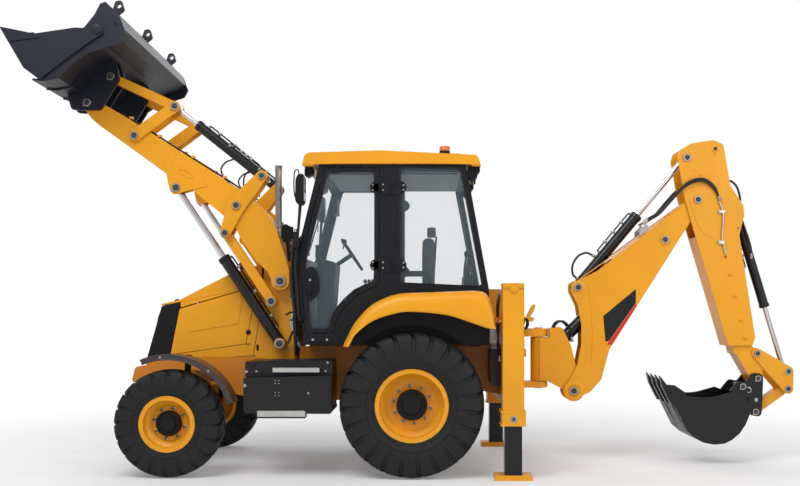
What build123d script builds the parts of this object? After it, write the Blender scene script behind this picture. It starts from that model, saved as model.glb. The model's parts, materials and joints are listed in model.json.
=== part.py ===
from build123d import *
import os
from math import atan2, cos, degrees, hypot, pi, radians, sin

os.makedirs("parts", exist_ok=True)

# Backhoe loader, standing on its four wheels and both stabilizers, loader raised, backhoe folded.
# Frame: +X forward, +Y left, +Z up, ground at z = 0. Millimetres.
# A point of a side view is (x, z): x runs forward from the rear axle, z up from the ground.

# ---- driving sizes ---------------------------------------------------------------------------
REAR_AXLE_X = 54  # puts the middle of the machine's length at x = 0
WHEELBASE = 2200
FRONT_WHEEL_Y = 915
REAR_WHEEL_Y = 905
FRONT_TYRE_RADIUS = 488
FRONT_TYRE_WIDTH = 310
FRONT_RIM_RADIUS = 229
REAR_TYRE_RADIUS = 657
REAR_TYRE_WIDTH = 490
REAR_RIM_RADIUS = 305
KINGPIN_Y = 700

FIT = 0.4  # radial clearance of a pin, shaft or ram rod
SEAT = 0.3  # clearance of a piece seated on its neighbour
RUN = 5  # side clearance of moving plates

RAIL_INSIDE = 330
RAIL_OUTSIDE = 350
HOOD_HALF = 345
TOWER_PLATE = 40
ARM_GAP = 9.7  # from a loader tower to the arm beside it
ARM_WIDTH = 120
LEVER_PLATE = 22
CAB_HALF = 760
CAB_WALL = 45
BUCKET_HALF = 1120
LEG_Y = 1070
LEG_SIZE = 152
LEG_WALL = 12
BOOM_INSIDE = 100
BOOM_PLATE = 16
DIPPER_PLATE = 16
DIG_BUCKET_HALF = 305

# ---- pins, as (x, z) -------------------------------------------------------------------------
ARM_PIVOT = (1263, 1789)
LIFT_BASE = (1269, 1196)
LIFT_TOP = (2255, 2680)
LEVEL_BASE = (1350, 1597)
LEVEL_TOP = (1784, 2247)
LEVER_PIVOT = (1677, 2509)
TILT_BASE = (1435, 2791)
TILT_TOP = (2261, 3450)
TIP_PIVOT = (2645, 3173)
BUCKET_PIVOT = (3093, 3486)
BUCKET_LINK = (2870, 3735)
CLAM_PIVOT = (2807, 4011)
SWING_X = -1258
BOOM_FOOT = (-1597, 710)
BOOM_RAM_BASE = (-1494, 1214)
BOOM_RAM_TOP = (-2505, 2216)
DIPPER_RAM_BASE = (-1641, 1742)
DIPPER_RAM_TOP = (-2719, 3031)
DIPPER_PIVOT = (-2827, 2612)
CROWD_RAM_BASE = (-3249, 2502)
CROWD_LEVER_PIVOT = (-3419, 1084)
CROWD_RAM_TOP = (-3730, 904)
CROWD_LINK_TOP = (-3728, 732)
CROWD_LINK_FOOT = (-3405, 502)
DIG_PIVOT = (-3424, 835)
HOOD_HINGE = (1459, 1950)
DOOR_HINGE_X = 303
DOOR_HINGE_RADIUS = 8
SEAT_X = 60

TOWER_INSIDE = RAIL_OUTSIDE + SEAT
TOWER_OUTSIDE = TOWER_INSIDE + TOWER_PLATE
ARM_Y = TOWER_OUTSIDE + ARM_GAP + ARM_WIDTH / 2
ARM_INSIDE = ARM_Y - ARM_WIDTH / 2
ARM_OUTSIDE = ARM_Y + ARM_WIDTH / 2
LEVER_INNER = (ARM_INSIDE - RUN - LEVER_PLATE, ARM_INSIDE - RUN)
LEVER_OUTER = (ARM_OUTSIDE + RUN, ARM_OUTSIDE + RUN + LEVER_PLATE)
FRONT_AXLE_Z = FRONT_TYRE_RADIUS
REAR_AXLE_Z = REAR_TYRE_RADIUS
DOOR_HINGE_Y = CAB_HALF + DOOR_HINGE_RADIUS + SEAT
BOOM_OUTSIDE = BOOM_INSIDE + BOOM_PLATE
DIPPER_INSIDE = BOOM_OUTSIDE + RUN + 1
DIPPER_OUTSIDE = DIPPER_INSIDE + DIPPER_PLATE
SIDES = (("left", 1), ("right", -1))


# ---- drawing helpers -------------------------------------------------------------------------
def at(x, y, z):
    """A point of the machine, from its x behind or ahead of the rear axle."""
    return (REAR_AXLE_X + x, y, z)


def side_plane(y):
    """The upright plane at y: its x runs forward, its y up, and it extrudes towards -Y."""
    return Plane(origin=at(0, y, 0), x_dir=(1, 0, 0), z_dir=(0, -1, 0))


def span(y_near, y_far, side=1):
    """The low and high y of a layer that is given on the left side."""
    return sorted((side * y_near, side * y_far))


def slab(corners, y_near, y_far, side=1, mode=Mode.ADD):
    """A plate with a side outline of (x, z) or (x, z, radius) corners."""
    low, high = span(y_near, y_far, side)
    with BuildSketch(side_plane(high)) as face:
        with BuildLine():
            Polyline(*[corner[:2] for corner in corners], close=True)
        make_face()
        for corner in corners:
            if len(corner) == 3:
                nearest = face.vertices().sort_by_distance(Vector(corner[0], corner[1]))[0]
                fillet(nearest, corner[2])
    extrude(face.sketch, amount=high - low, mode=mode)


def pin(centre, radius, y_near, y_far, side=1, mode=Mode.ADD):
    """A round pin, boss or bore across the machine."""
    low, high = span(y_near, y_far, side)
    with BuildSketch(side_plane(high)) as face:
        with Locations(centre):
            Circle(radius)
    extrude(face.sketch, amount=high - low, mode=mode)


def link(ends, y_near, y_far, side=1, mode=Mode.ADD):
    """A plate that wraps two bosses, each given as (centre, radius)."""
    low, high = span(y_near, y_far, side)
    with BuildSketch(side_plane(high)) as face:
        for centre, radius in ends:
            with Locations(centre):
                Circle(radius)
        make_hull(face.edges())
    extrude(face.sketch, amount=high - low, mode=mode)


def towards(start, end, distance):
    """The point at a distance from start on the line to end."""
    length = hypot(end[0] - start[0], end[1] - start[1])
    share = distance / length
    return (start[0] + (end[0] - start[0]) * share, start[1] + (end[1] - start[1]) * share)


def rod(start, end, radius, y, mode=Mode.ADD):
    """A round bar between two points of a side view, at y."""
    direction = Vector(end[0] - start[0], 0, end[1] - start[1])
    with BuildSketch(Plane(origin=at(start[0], y, start[1]), z_dir=direction)) as face:
        Circle(radius)
    extrude(face.sketch, amount=direction.length, mode=mode)


def box(x, y, z, mode=Mode.ADD):
    """A block from three (low, high) pairs."""
    with Locations(at((x[0] + x[1]) / 2, (y[0] + y[1]) / 2, (z[0] + z[1]) / 2)):
        Box(x[1] - x[0], y[1] - y[0], z[1] - z[0], mode=mode)


def post(x, y, z, radius, mode=Mode.ADD):
    """An upright round bar over a (low, high) z."""
    with BuildSketch(Plane.XY.offset(z[0])) as face:
        with Locations(at(x, y, 0)[:2]):
            Circle(radius)
    extrude(face.sketch, amount=z[1] - z[0], mode=mode)


def barrel(base, top, y, length, radius, rod_radius, eye):
    """A ram's tube with its eye: eye is (radius, half width, pin radius)."""
    eye_radius, eye_half, pin_radius = eye
    pin(base, eye_radius, y - eye_half, y + eye_half)
    rod(base, towards(base, top, length), radius, y)
    pin(base, pin_radius + FIT, y - eye_half - radius, y + eye_half + radius, mode=Mode.SUBTRACT)
    rod(towards(base, top, eye_radius + 15), towards(base, top, length), rod_radius + FIT, y,
        mode=Mode.SUBTRACT)


def ram_rod(base, top, y, length, radius, eye):
    """A ram's rod with its solid eye: eye is (radius, half width)."""
    eye_radius, eye_half = eye
    pin(top, eye_radius, y - eye_half, y + eye_half)
    rod(top, towards(top, base, length), radius, y)


def save(piece, name):
    """Label a finished piece and write its STEP file."""
    piece.part.label = name
    export_step(piece.part, f"parts/{name}.step")


# ---- wheels ----------------------------------------------------------------------------------
def across(x, y, z):
    """The plane of a wheel's section: its x runs outwards along +Y, its y is the radius."""
    return Plane(origin=at(x, y, z), x_dir=(0, 1, 0), z_dir=(1, 0, 0))


def turned(section, x, y, z, side, mode=Mode.ADD):
    """A body turned about the wheel's axle, from (outwards, radius) corners."""
    with BuildSketch(across(x, y, z)) as face:
        with BuildLine():
            Polyline(*[(side * out, radius) for out, radius in section], close=True)
        make_face()
    revolve(face.sketch, axis=Axis(at(x, y, z), (0, 1, 0)), mode=mode)


def tyre_section(radius, width, rim):
    """Bead, bulged wall, rounded shoulder and crowned tread."""
    half = width / 2
    wall = radius - rim
    lower = [(half * 0.80, rim), (half * 0.80, rim + 26), (half * 0.94, rim + wall * 0.35),
             (half, rim + wall * 0.55)]
    upper = [(half * 0.97, rim + wall * 0.78), (half * 0.86, radius - wall * 0.07)]
    right = lower + upper + [(half * 0.45, radius)]
    return right + [(-out, r) for out, r in reversed(right)]


def rim_section(width, rim, dish):
    """Rim barrel with both flanges, and the dished disc that carries the hub."""
    half = width / 2
    flange = rim + 24
    seat = rim - SEAT
    inner = rim - 14
    return [(half * 0.80 + SEAT, flange), (half * 0.80 + 14, flange), (half * 0.80 + 14, inner),
            (dish + 45, inner - 6), (dish, inner - 60), (dish, 70), (dish - 16, 70),
            (dish - 16, inner - 66), (dish + 25, inner - 12), (-half * 0.80 - 14, inner),
            (-half * 0.80 - 14, flange), (-half * 0.80 - SEAT, flange),
            (-half * 0.80 - SEAT, seat), (half * 0.80 + SEAT, seat)]


# place, x, |y|, tyre radius, tyre width, rim radius, disc plane, hub (radius, inner, outer), spindle
WHEELS = (
    ("front", WHEELBASE, FRONT_WHEEL_Y, FRONT_TYRE_RADIUS, FRONT_TYRE_WIDTH, FRONT_RIM_RADIUS,
     30, (112, -60, 85), 50),
    ("rear", 0, REAR_WHEEL_Y, REAR_TYRE_RADIUS, REAR_TYRE_WIDTH, REAR_RIM_RADIUS,
     50, (140, -120, 130), 70),
)
for place, x, y, radius, width, rim, dish, hub, spindle in WHEELS:
    for name, side in SIDES:
        with BuildPart() as tyre:
            turned(tyre_section(radius, width, rim), x, side * y, radius, side)
        save(tyre, f"{place}_{name}_tyre")
        hub_radius, hub_in, hub_out = hub
        with BuildPart() as wheel_rim:
            turned(rim_section(width, rim, dish), x, side * y, radius, side)
            turned([(hub_in, 0), (hub_in, hub_radius * 0.75), (dish - 16, hub_radius * 0.75),
                    (dish - 16, hub_radius), (dish + 12, hub_radius),
                    (hub_out - 25, hub_radius * 0.8), (hub_out, hub_radius * 0.5), (hub_out, 0)],
                   x, side * y, radius, side)
            turned([(hub_in - 1, 0), (hub_in - 1, spindle + FIT), (dish, spindle + FIT), (dish, 0)],
                   x, side * y, radius, side, mode=Mode.SUBTRACT)
        save(wheel_rim, f"{place}_{name}_rim")

# ---- axles and steering knuckles ---------------------------------------------------------------
FRONT_AXLE_TUBE = 68
REAR_AXLE_TUBE = 92
FORK_REACH = 55
KNUCKLE_HALF = 85
FORK_PLATE = 26
KINGPIN_RADIUS = 26

with BuildPart() as front_axle:
    front = (WHEELBASE, FRONT_AXLE_Z)
    pin(front, FRONT_AXLE_TUBE, -KINGPIN_Y + 95, KINGPIN_Y - 95)
    with Locations(at(WHEELBASE, 60, FRONT_AXLE_Z)):
        Sphere(165)
    box((WHEELBASE - 60, WHEELBASE + 60), (-95, 95), (FRONT_AXLE_Z, 735))
    for name, side in SIDES:
        box((WHEELBASE - 60, WHEELBASE + 60), span(KINGPIN_Y - 110, KINGPIN_Y - 78, side),
            (FRONT_AXLE_Z - KNUCKLE_HALF - RUN - FORK_PLATE,
             FRONT_AXLE_Z + KNUCKLE_HALF + RUN + FORK_PLATE))
        for low in (-KNUCKLE_HALF - RUN - FORK_PLATE, KNUCKLE_HALF + RUN):
            z = (FRONT_AXLE_Z + low, FRONT_AXLE_Z + low + FORK_PLATE)
            box((WHEELBASE - FORK_REACH, WHEELBASE + FORK_REACH),
                span(KINGPIN_Y - 90, KINGPIN_Y, side), z)
            post(WHEELBASE, side * KINGPIN_Y, z, FORK_REACH)
        post(WHEELBASE, side * KINGPIN_Y,
             (FRONT_AXLE_Z - KNUCKLE_HALF - 2 * FORK_PLATE, FRONT_AXLE_Z + KNUCKLE_HALF + 2 * FORK_PLATE),
             KINGPIN_RADIUS)
save(front_axle, "front_axle")

with BuildPart() as rear_axle:
    rear = (0, REAR_AXLE_Z)
    pin(rear, REAR_AXLE_TUBE, -640, 640)
    with Locations(at(0, 0, REAR_AXLE_Z)):
        Sphere(215)
    for name, side in SIDES:
        box((-110, 110), span(290, 390, side), (REAR_AXLE_Z, 780 - SEAT))
        pin(rear, 150, 618, 640, side)
        pin(rear, 70, 640, REAR_WHEEL_Y + 30, side)
save(rear_axle, "rear_axle")

GUARD_RADIUS = 618
GUARD_SHEET = 6
GUARD_Y = (800, 1030)


def guard_point(angle, radius):
    """A point over the front tyre, at an angle above the forward direction."""
    return (WHEELBASE + radius * cos(radians(angle)), FRONT_AXLE_Z + radius * sin(radians(angle)))


for name, side in SIDES:
    with BuildPart() as knuckle:
        post(WHEELBASE, side * KINGPIN_Y, (FRONT_AXLE_Z - KNUCKLE_HALF, FRONT_AXLE_Z + KNUCKLE_HALF), 52)
        pin((WHEELBASE, FRONT_AXLE_Z), 60, KINGPIN_Y, 852, side)
        pin((WHEELBASE, FRONT_AXLE_Z), 50, 852, FRONT_WHEEL_Y + 20, side)
        post(WHEELBASE, side * KINGPIN_Y, (0, 900), KINGPIN_RADIUS + FIT, mode=Mode.SUBTRACT)
        # bracket up inside the wheel and the curved mudguard over it
        slab([(WHEELBASE - 50, 440), (WHEELBASE - 50, 540), (WHEELBASE - 68, 560),
              (WHEELBASE - 68, 640), (WHEELBASE - 90, 1099), (WHEELBASE - 150, 1099),
              (WHEELBASE - 120, 640), (WHEELBASE - 100, 440)], 735, 745, side)
        with BuildSketch(side_plane(span(GUARD_Y[0], GUARD_Y[1], side)[1])):
            with BuildLine():
                outer = ThreePointArc(guard_point(70, GUARD_RADIUS), guard_point(115, GUARD_RADIUS),
                                      guard_point(160, GUARD_RADIUS))
                inner = ThreePointArc(guard_point(160, GUARD_RADIUS - GUARD_SHEET),
                                      guard_point(115, GUARD_RADIUS - GUARD_SHEET),
                                      guard_point(70, GUARD_RADIUS - GUARD_SHEET))
                Line(outer @ 1, inner @ 0)
                Line(inner @ 1, outer @ 0)
            make_face()
        extrude(amount=GUARD_Y[1] - GUARD_Y[0])
        box((WHEELBASE - 150, WHEELBASE - 90), span(735, GUARD_Y[0] + 60, side), (1085, 1099))
    save(knuckle, f"{name}_knuckle")

# ---- chassis: rails, nose casting and loader towers ---------------------------------------------
RAIL = [(2590, 1005), (2600, 800), (2480, 780), (2380, 930), (2020, 930), (1800, 720, 60), (1500, 640),
        (300, 640), (180, 780, 40), (-400, 780), (-830, 700), (-830, 1165), (1090, 1165),
        (1110, 1012), (1560, 1060), (2364, 1060), (2368, 1070.6)]
NOSE = [(2560, 985), (2700, 960, 40), (2734, 817, 25), (2560, 790)]
TOWER = [(1150, 900), (1140, 1560), (1165, 1870, 60), (1345, 1890, 70), (1440, 1600, 80),
         (1360, 1300, 90), (1440, 1000), (1440, 900)]
PIN_HEAD = 8
MAIN_PIN = 35
FRAME_END = -830
TANK_INSIDE = 600

with BuildPart() as chassis:
    for name, side in SIDES:
        slab(RAIL, RAIL_INSIDE, RAIL_OUTSIDE, side)
    slab(NOSE, -RAIL_OUTSIDE, RAIL_OUTSIDE)
    for x, z in (((2440, 2560), (800, 990)), ((2120, 2280), (735 + SEAT, 950)), ((1150, 1420), (700, 950)),
                 ((250, 350), (700, 1100)), ((FRAME_END, FRAME_END + 40), (720, 1160))):
        box(x, (-RAIL_INSIDE, RAIL_INSIDE), z)
save(chassis, "chassis_frame")

with BuildPart() as towers:
    for name, side in SIDES:
        slab(TOWER, TOWER_INSIDE, TOWER_OUTSIDE, side)
        for centre, radius in ((ARM_PIVOT, MAIN_PIN), (LEVEL_BASE, 28), (LIFT_BASE, 30)):
            pin(centre, radius, TOWER_OUTSIDE, ARM_OUTSIDE + RUN, side)
            pin(centre, radius + 22, ARM_OUTSIDE + RUN, ARM_OUTSIDE + RUN + PIN_HEAD, side)
            pin(centre, radius + 26, TOWER_OUTSIDE, ARM_INSIDE - RUN, side)
save(towers, "loader_towers")

with BuildPart() as engine:
    box((1480, 2250), (-240, 240), (950 + SEAT, 1480))
    for name, side in SIDES:
        box((1600, 1700), span(240, RAIL_INSIDE - SEAT, side), (960, 1010))
save(engine, "engine")

# ---- hood, side panels and grille ---------------------------------------------------------------
SHEET = 8
COWL = (1130, 1448)
HOOD = [(2446, 1574), (2268, 1612), (2065, 1718), (1755, 1876), (1470, 1960), (1470, 1768),
        (1667, 1709), (2258, 1541), (2258, 1598), (2443, 1557)]
HOOD_HOLLOW = [(2438, 1567), (2266, 1604), (2062, 1710), (1752, 1868), (1460, 1952), (1460, 1400),
               (2438, 1400)]
GRILLE = [(2443, 1550), (2264, 1589), (2368, 1071), (2598, 1003)]
GRILLE_HOLLOW = [(2426, 1540), (2572, 1025), (2330, 1094), (2200, 1094), (2200, 1590), (2258, 1577)]
LOUVRES = 9

with BuildPart() as hood:
    slab(HOOD, -HOOD_HALF, HOOD_HALF)
    slab(HOOD_HOLLOW, -HOOD_HALF + SHEET, HOOD_HALF - SHEET, mode=Mode.SUBTRACT)
    pin(HOOD_HINGE, 5, -195 + SEAT, 195 - SEAT)
    for name, side in SIDES:
        slab([(1453, 1943), (1500, 1931), (1500, 1945), (1470, 1954), (1453, 1957)], 120, 140, side)
save(hood, "hood")

with BuildPart() as side_panels:
    for name, side in SIDES:
        slab([(2361, 1061), (2268, 1526), (1667, 1701), (COWL[1], 1765), (COWL[0], 1765),
              (COWL[0], 1014.5), (1560, 1061)], HOOD_HALF - 10, HOOD_HALF, side)
        # hinge lugs of the hood
        slab([(COWL[1] - 10, 1900), (1460, 1905), (1467, 1950), (1459, 1957), (COWL[1] - 10, 1945)],
             200, 214, side)
        pin(HOOD_HINGE, 5, 195, 200, side)
    # fixed cowl between the hood and the cab
    slab([(COWL[0], 1764), (COWL[1], 1764), (COWL[1], 1940), (COWL[1] - 14, 1964), (COWL[0], 1990)],
         -HOOD_HALF, HOOD_HALF)
    slab([(COWL[0] + 12, 1700), (COWL[1] - 12, 1700), (COWL[1] - 12, 1935), (COWL[1] - 22, 1953),
          (COWL[0] + 12, 1978)], -HOOD_HALF + 10, HOOD_HALF - 10, mode=Mode.SUBTRACT)
    post(1401, -250, (1900, 2000), 34 + SEAT, mode=Mode.SUBTRACT)
save(side_panels, "side_panels")

with BuildPart() as grille:
    slab(GRILLE, -HOOD_HALF, HOOD_HALF)
    slab(GRILLE_HOLLOW, -HOOD_HALF + 12, HOOD_HALF - 12, mode=Mode.SUBTRACT)
    for i in range(LOUVRES):
        z = 1080 + i * 48
        x = 2598 - (z - 1003) * 155 / 547
        box((x - 60, x + 20), (-HOOD_HALF + 50, HOOD_HALF - 50), (z, z + 26), mode=Mode.SUBTRACT)
save(grille, "grille")

with BuildPart() as exhaust:
    post(1401, -250, (1700, 3000), 34)
    post(1401, -250, (1990, 2420), 52)
    post(1401, -250, (2000, 3010), 30, mode=Mode.SUBTRACT)
save(exhaust, "exhaust_stack")

# ---- cab -----------------------------------------------------------------------------------------
CAB_OUTLINE = [(1023, 1190), (1014, 1301), (1094, 1950), (866, 2866), (-497, 2866), (-712, 1700),
               (-712, 1190)]
CAB_HOLLOW = [(975, 1202), (966, 1301), (1046, 1950), (834, 2800), (-457, 2800), (-664, 1700),
              (-664, 1202)]
DOOR = [(985, 1300, 20), (1040, 1941, 30), (818, 2835, 30), (309, 2835, 20), (309, 1760),
        (340, 1735), (513, 1660), (661, 1510), (720, 1390), (735, 1300, 20)]
QUARTER = [(118, 2850, 30), (118, 1764, 20), (-655, 1730, 30), (-448, 2835, 30)]
DOOR_GAP = 6
CAB_INSIDE = CAB_HALF - CAB_WALL
CAB_FLOOR = 1202
ARCH_RADIUS = 712
ARCH_INSIDE = 640


def outline(corners, amount, y):
    """A side outline grown by an amount (or shrunk, if negative), ready to extrude towards -Y."""
    with BuildSketch(side_plane(y)) as face:
        with BuildLine():
            Polyline(*[corner[:2] for corner in corners], close=True)
        make_face()
        for corner in corners:
            if len(corner) == 3:
                nearest = face.vertices().sort_by_distance(Vector(corner[0], corner[1]))[0]
                fillet(nearest, corner[2])
        offset(amount=amount, kind=Kind.INTERSECTION)
    return face.sketch


def window(corners, amount, y_near, y_far, side, mode=Mode.ADD):
    """A plate or opening that follows a grown or shrunk side outline."""
    low, high = span(y_near, y_far, side)
    extrude(outline(corners, amount, high), amount=high - low, mode=mode)


with BuildPart() as cab_frame:
    slab(CAB_OUTLINE, -CAB_HALF, CAB_HALF)
    slab(CAB_HOLLOW, -CAB_INSIDE, CAB_INSIDE, mode=Mode.SUBTRACT)
    for name, side in SIDES:
        window(DOOR, DOOR_GAP, CAB_INSIDE - 1, CAB_HALF + 1, side, mode=Mode.SUBTRACT)
        window(QUARTER, 0, CAB_INSIDE - 1, CAB_HALF + 1, side, mode=Mode.SUBTRACT)
        # wheel arch
        pin((0, REAR_AXLE_Z), ARCH_RADIUS + 12, ARCH_INSIDE - 12, CAB_HALF, side)
        pin((0, REAR_AXLE_Z), ARCH_RADIUS, ARCH_INSIDE, CAB_HALF + 1, side, mode=Mode.SUBTRACT)
        box((-760, 760), span(ARCH_INSIDE - 13, CAB_HALF + 1, side), (-100, 1190), mode=Mode.SUBTRACT)
    # windscreen, foot windows, rear window and the hatch of the roof
    box((700, 1200), (-640, 640), (2010, 2780), mode=Mode.SUBTRACT)
    for name, side in SIDES:
        box((900, 1200), span(400, 640, side), (1330, 1900), mode=Mode.SUBTRACT)
        # mounts down to the rails
        box((-650, -550), span(RAIL_INSIDE, RAIL_OUTSIDE, side), (1165 + SEAT, 1190))
        box((100, 200), span(RAIL_INSIDE, RAIL_OUTSIDE, side), (1165 + SEAT, 1190))
    box((-800, -400), (-640, 640), (1760, 2780), mode=Mode.SUBTRACT)
    box((-380, 740), (-660, 660), (2700, 2900), mode=Mode.SUBTRACT)
save(cab_frame, "cab_frame")

with BuildPart() as cab_roof:
    slab([(1023, 2849, 10), (1000, 2945, 30), (960, 2972, 30), (300, 2992), (-590, 2950, 20),
          (-612, 2925, 10), (-636, 2849), (-560, 2849), (-530, 2866 + SEAT), (900, 2866 + SEAT),
          (930, 2849)], -CAB_HALF - 25, CAB_HALF + 25)
    post(-303, 560, (2940, 3025), 48)
save(cab_roof, "cab_roof")

PANE = 6
with BuildPart() as cab_glass:
    # windscreen, foot windows, rear window and quarter windows
    slab([(1063, 2010 + SEAT), (873, 2780 - SEAT), (873 - PANE, 2780 - SEAT), (1063 - PANE, 2010 + SEAT)],
         -640 + SEAT, 640 - SEAT)
    slab([(-498, 2780 - SEAT), (-686, 1760 + SEAT), (-686 + PANE, 1760 + SEAT),
          (-498 + PANE, 2780 - SEAT)], -640 + SEAT, 640 - SEAT)
    for name, side in SIDES:
        slab([(1003, 1330 + SEAT), (1073, 1900 - SEAT), (1073 - PANE, 1900 - SEAT),
              (1003 - PANE, 1330 + SEAT)], 400 + SEAT, 640 - SEAT, side)
        window(QUARTER, -SEAT, CAB_INSIDE + 20, CAB_INSIDE + 20 + PANE, side)
save(cab_glass, "cab_glass")

DOOR_FACE = CAB_HALF - 2
DOOR_FRAME = 45
for name, side in SIDES:
    with BuildPart() as door:
        window(DOOR, 0, CAB_INSIDE, DOOR_FACE, side)
        window(DOOR, -DOOR_FRAME, CAB_INSIDE - 1, DOOR_FACE + 1, side, mode=Mode.SUBTRACT)
        for z in (1930, 2650):
            post(DOOR_HINGE_X, side * DOOR_HINGE_Y, (z - 35, z + 35), DOOR_HINGE_RADIUS)
            box((DOOR_HINGE_X + 1, DOOR_HINGE_X + 60), span(DOOR_FACE, DOOR_FACE + 8, side),
                (z - 35, z + 35))
    save(door, f"{name}_door")
    with BuildPart() as door_glass:
        window(DOOR, -DOOR_FRAME - SEAT, CAB_INSIDE + 20, CAB_INSIDE + 20 + PANE, side)
    save(door_glass, f"{name}_door_glass")

with BuildPart() as cab_console:
    slab([(950, CAB_FLOOR + SEAT), (940, 1900, 40), (860, 2010, 30), (760, 1980, 30),
          (820, CAB_FLOOR + SEAT)], -250, 250)
    rod((800, 1953), (628, 2068), 22, 0)
    with BuildSketch(Plane(origin=at(630, 0, 2067), z_dir=(-0.83, 0, 0.55))) as ring:
        Circle(190)
        Circle(165, mode=Mode.SUBTRACT)
        Rectangle(340, 36)
    extrude(ring.sketch, amount=22)
    slab([(-640, CAB_FLOOR + SEAT), (-620, 1850, 30), (-500, 1880, 30), (-470, CAB_FLOOR + SEAT)],
         -330, 330)
save(cab_console, "cab_console")

with BuildPart() as seat:
    post(SEAT_X, 0, (CAB_FLOOR + SEAT, 1560), 90)
    box((SEAT_X - 240, SEAT_X + 240), (-240, 240), (1560, 1700))
    slab([(SEAT_X - 240, 1690), (SEAT_X - 130, 1690), (SEAT_X - 190, 2350, 40),
          (SEAT_X - 280, 2350, 40)], -230, 230)
save(seat, "seat")

# ---- fenders, tanks and mirrors -------------------------------------------------------------------
FENDER_HOLLOW = [(700, 1100), (613, 1186), (517, 1375), (361, 1546), (100, 1651, 55), (-600, 1678, 55),
                 (-683, 1633, 35), (-756, 1352), (-760, 1100)]
FENDER_OUT = 1150
with BuildPart() as fenders:
    for name, side in SIDES:
        slab([(625, 1186), (528, 1381), (369, 1558), (103, 1664, 60), (-605, 1691, 60),
              (-694, 1640, 40), (-765, 1381), (-765, 1186)], CAB_HALF + SEAT, FENDER_OUT, side)
        slab(FENDER_HOLLOW, CAB_HALF - 1, FENDER_OUT - 12, side, mode=Mode.SUBTRACT)
        # outer lip hangs lower over the tyre
        with BuildSketch(side_plane(span(FENDER_OUT - 13, FENDER_OUT + 1, side)[1])) as mouth:
            with BuildLine():
                Polyline((-800, 1346), (-694, 1346), (-340, 1461), (59, 1496), (324, 1425), (501, 1292),
                         (560, 1186), (560, 1100), (-800, 1100), close=True)
            make_face()
        extrude(mouth.sketch, amount=14, mode=Mode.SUBTRACT)
save(fenders, "rear_fenders")

with BuildPart() as side_tanks:
    for name, side in SIDES:
        slab([(1490, 908), (1505, 908), (1505, 1051, 20), (719, 1060, 20), (719, 908)],
             TANK_INSIDE + SEAT, 1000, side)
        slab([(1475, 590, 30), (1503, 614), (1505, 908, 15), (719, 930, 15), (719, 640), (700, 585, 30)],
             TANK_INSIDE + SEAT, 1090, side)
        # bracket in to the rail, and the step with its hangers
        box((820, 1080), span(RAIL_OUTSIDE + SEAT, TANK_INSIDE + 1, side), (660, 720))
        box((951, 1378), span(960, 1100, side), (548, 562))
        for x in (960, 1350):
            box((x, x + 20), span(1000, 1020, side), (548, 640))
save(side_tanks, "side_tanks")

MIRROR_Y = CAB_HALF + 100
with BuildPart() as mirrors:
    for name, side in SIDES:
        box((1042, 1072), span(CAB_HALF + SEAT, MIRROR_Y + 10, side), (2050, 2074))
        rod((1062, 2060), (1018, 2520), 11, side * MIRROR_Y)
        box((996, 1022), span(MIRROR_Y - 65, MIRROR_Y + 75, side), (2478, 2753))
save(mirrors, "mirrors")

# ---- loader ----------------------------------------------------------------------------------------
ARM = [(3060, 3548), (2964, 3485), (2774, 3378), (2592, 3265), (2258, 3052), (1940, 2854), (1651, 2657),
       (1537, 2573), (1422, 2475), (1347, 2384), (1294, 2262), (1210, 2004), (1180, 1898), (1178, 1789),
       (1340, 1789), (1385, 1880), (1498, 1990), (1636, 2187), (1688, 2300), (1795, 2407), (2106, 2665),
       (2242, 2627), (2280, 2657), (2319, 2793), (2972, 3265), (3055, 3333), (3125, 3425)]
LIFT_SLOT = [(2180, 2790), (2335, 2790), (2335, 2560), (1900, 2560), (1900, 2640), (2100, 2700)]
EYE_HALF = 30
LINK_PLATE = 20
CROSS_TUBE = (2821, 3296)
BOLT = 30

with BuildPart() as loader_arms:
    for name, side in SIDES:
        slab(ARM, ARM_INSIDE, ARM_OUTSIDE, side)
        pin(BUCKET_PIVOT, 72, ARM_INSIDE, ARM_OUTSIDE, side)
        pin(ARM_PIVOT, 85, ARM_INSIDE, ARM_OUTSIDE, side)
        slab(LIFT_SLOT, ARM_Y - EYE_HALF - RUN, ARM_Y + EYE_HALF + RUN, side, mode=Mode.SUBTRACT)
        for centre, radius in ((ARM_PIVOT, MAIN_PIN), (LEVER_PIVOT, BOLT), (TIP_PIVOT, BOLT),
                               (BUCKET_PIVOT, BOLT)):
            pin(centre, radius + FIT, ARM_INSIDE - 5, ARM_OUTSIDE + 5, side, mode=Mode.SUBTRACT)
        pin(LIFT_TOP, 46, ARM_OUTSIDE, ARM_OUTSIDE + PIN_HEAD, side)
    pin(CROSS_TUBE, 65, -ARM_INSIDE, ARM_INSIDE)
save(loader_arms, "loader_arms")

with BuildPart() as tilt_levers:
    for name, side in SIDES:
        for layer in (LEVER_INNER, LEVER_OUTER):
            link([(TILT_BASE, 52), (LEVER_PIVOT, 85)], *layer, side)
            link([(LEVER_PIVOT, 85), (LEVEL_TOP, 50)], *layer, side)
        for centre, radius in ((TILT_BASE, 26), (LEVER_PIVOT, BOLT)):
            pin(centre, radius, LEVER_INNER[0], LEVER_OUTER[1], side)
            pin(centre, radius + 14, LEVER_OUTER[1], LEVER_OUTER[1] + PIN_HEAD, side)
        pin(LEVEL_TOP, 40, LEVER_OUTER[1], LEVER_OUTER[1] + PIN_HEAD, side)
save(tilt_levers, "tilt_levers")

with BuildPart() as level_rods:
    for name, side in SIDES:
        link([(LEVEL_BASE, 45), (LEVEL_TOP, 42)], ARM_Y - EYE_HALF, ARM_Y + EYE_HALF, side)
        pin(LEVEL_BASE, 45, ARM_INSIDE, ARM_OUTSIDE, side)
        pin(LEVEL_TOP, 42, ARM_INSIDE, ARM_OUTSIDE, side)
        pin(LEVEL_BASE, 28 + FIT, 380, 540, side, mode=Mode.SUBTRACT)
save(level_rods, "levelling_rods")

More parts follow.
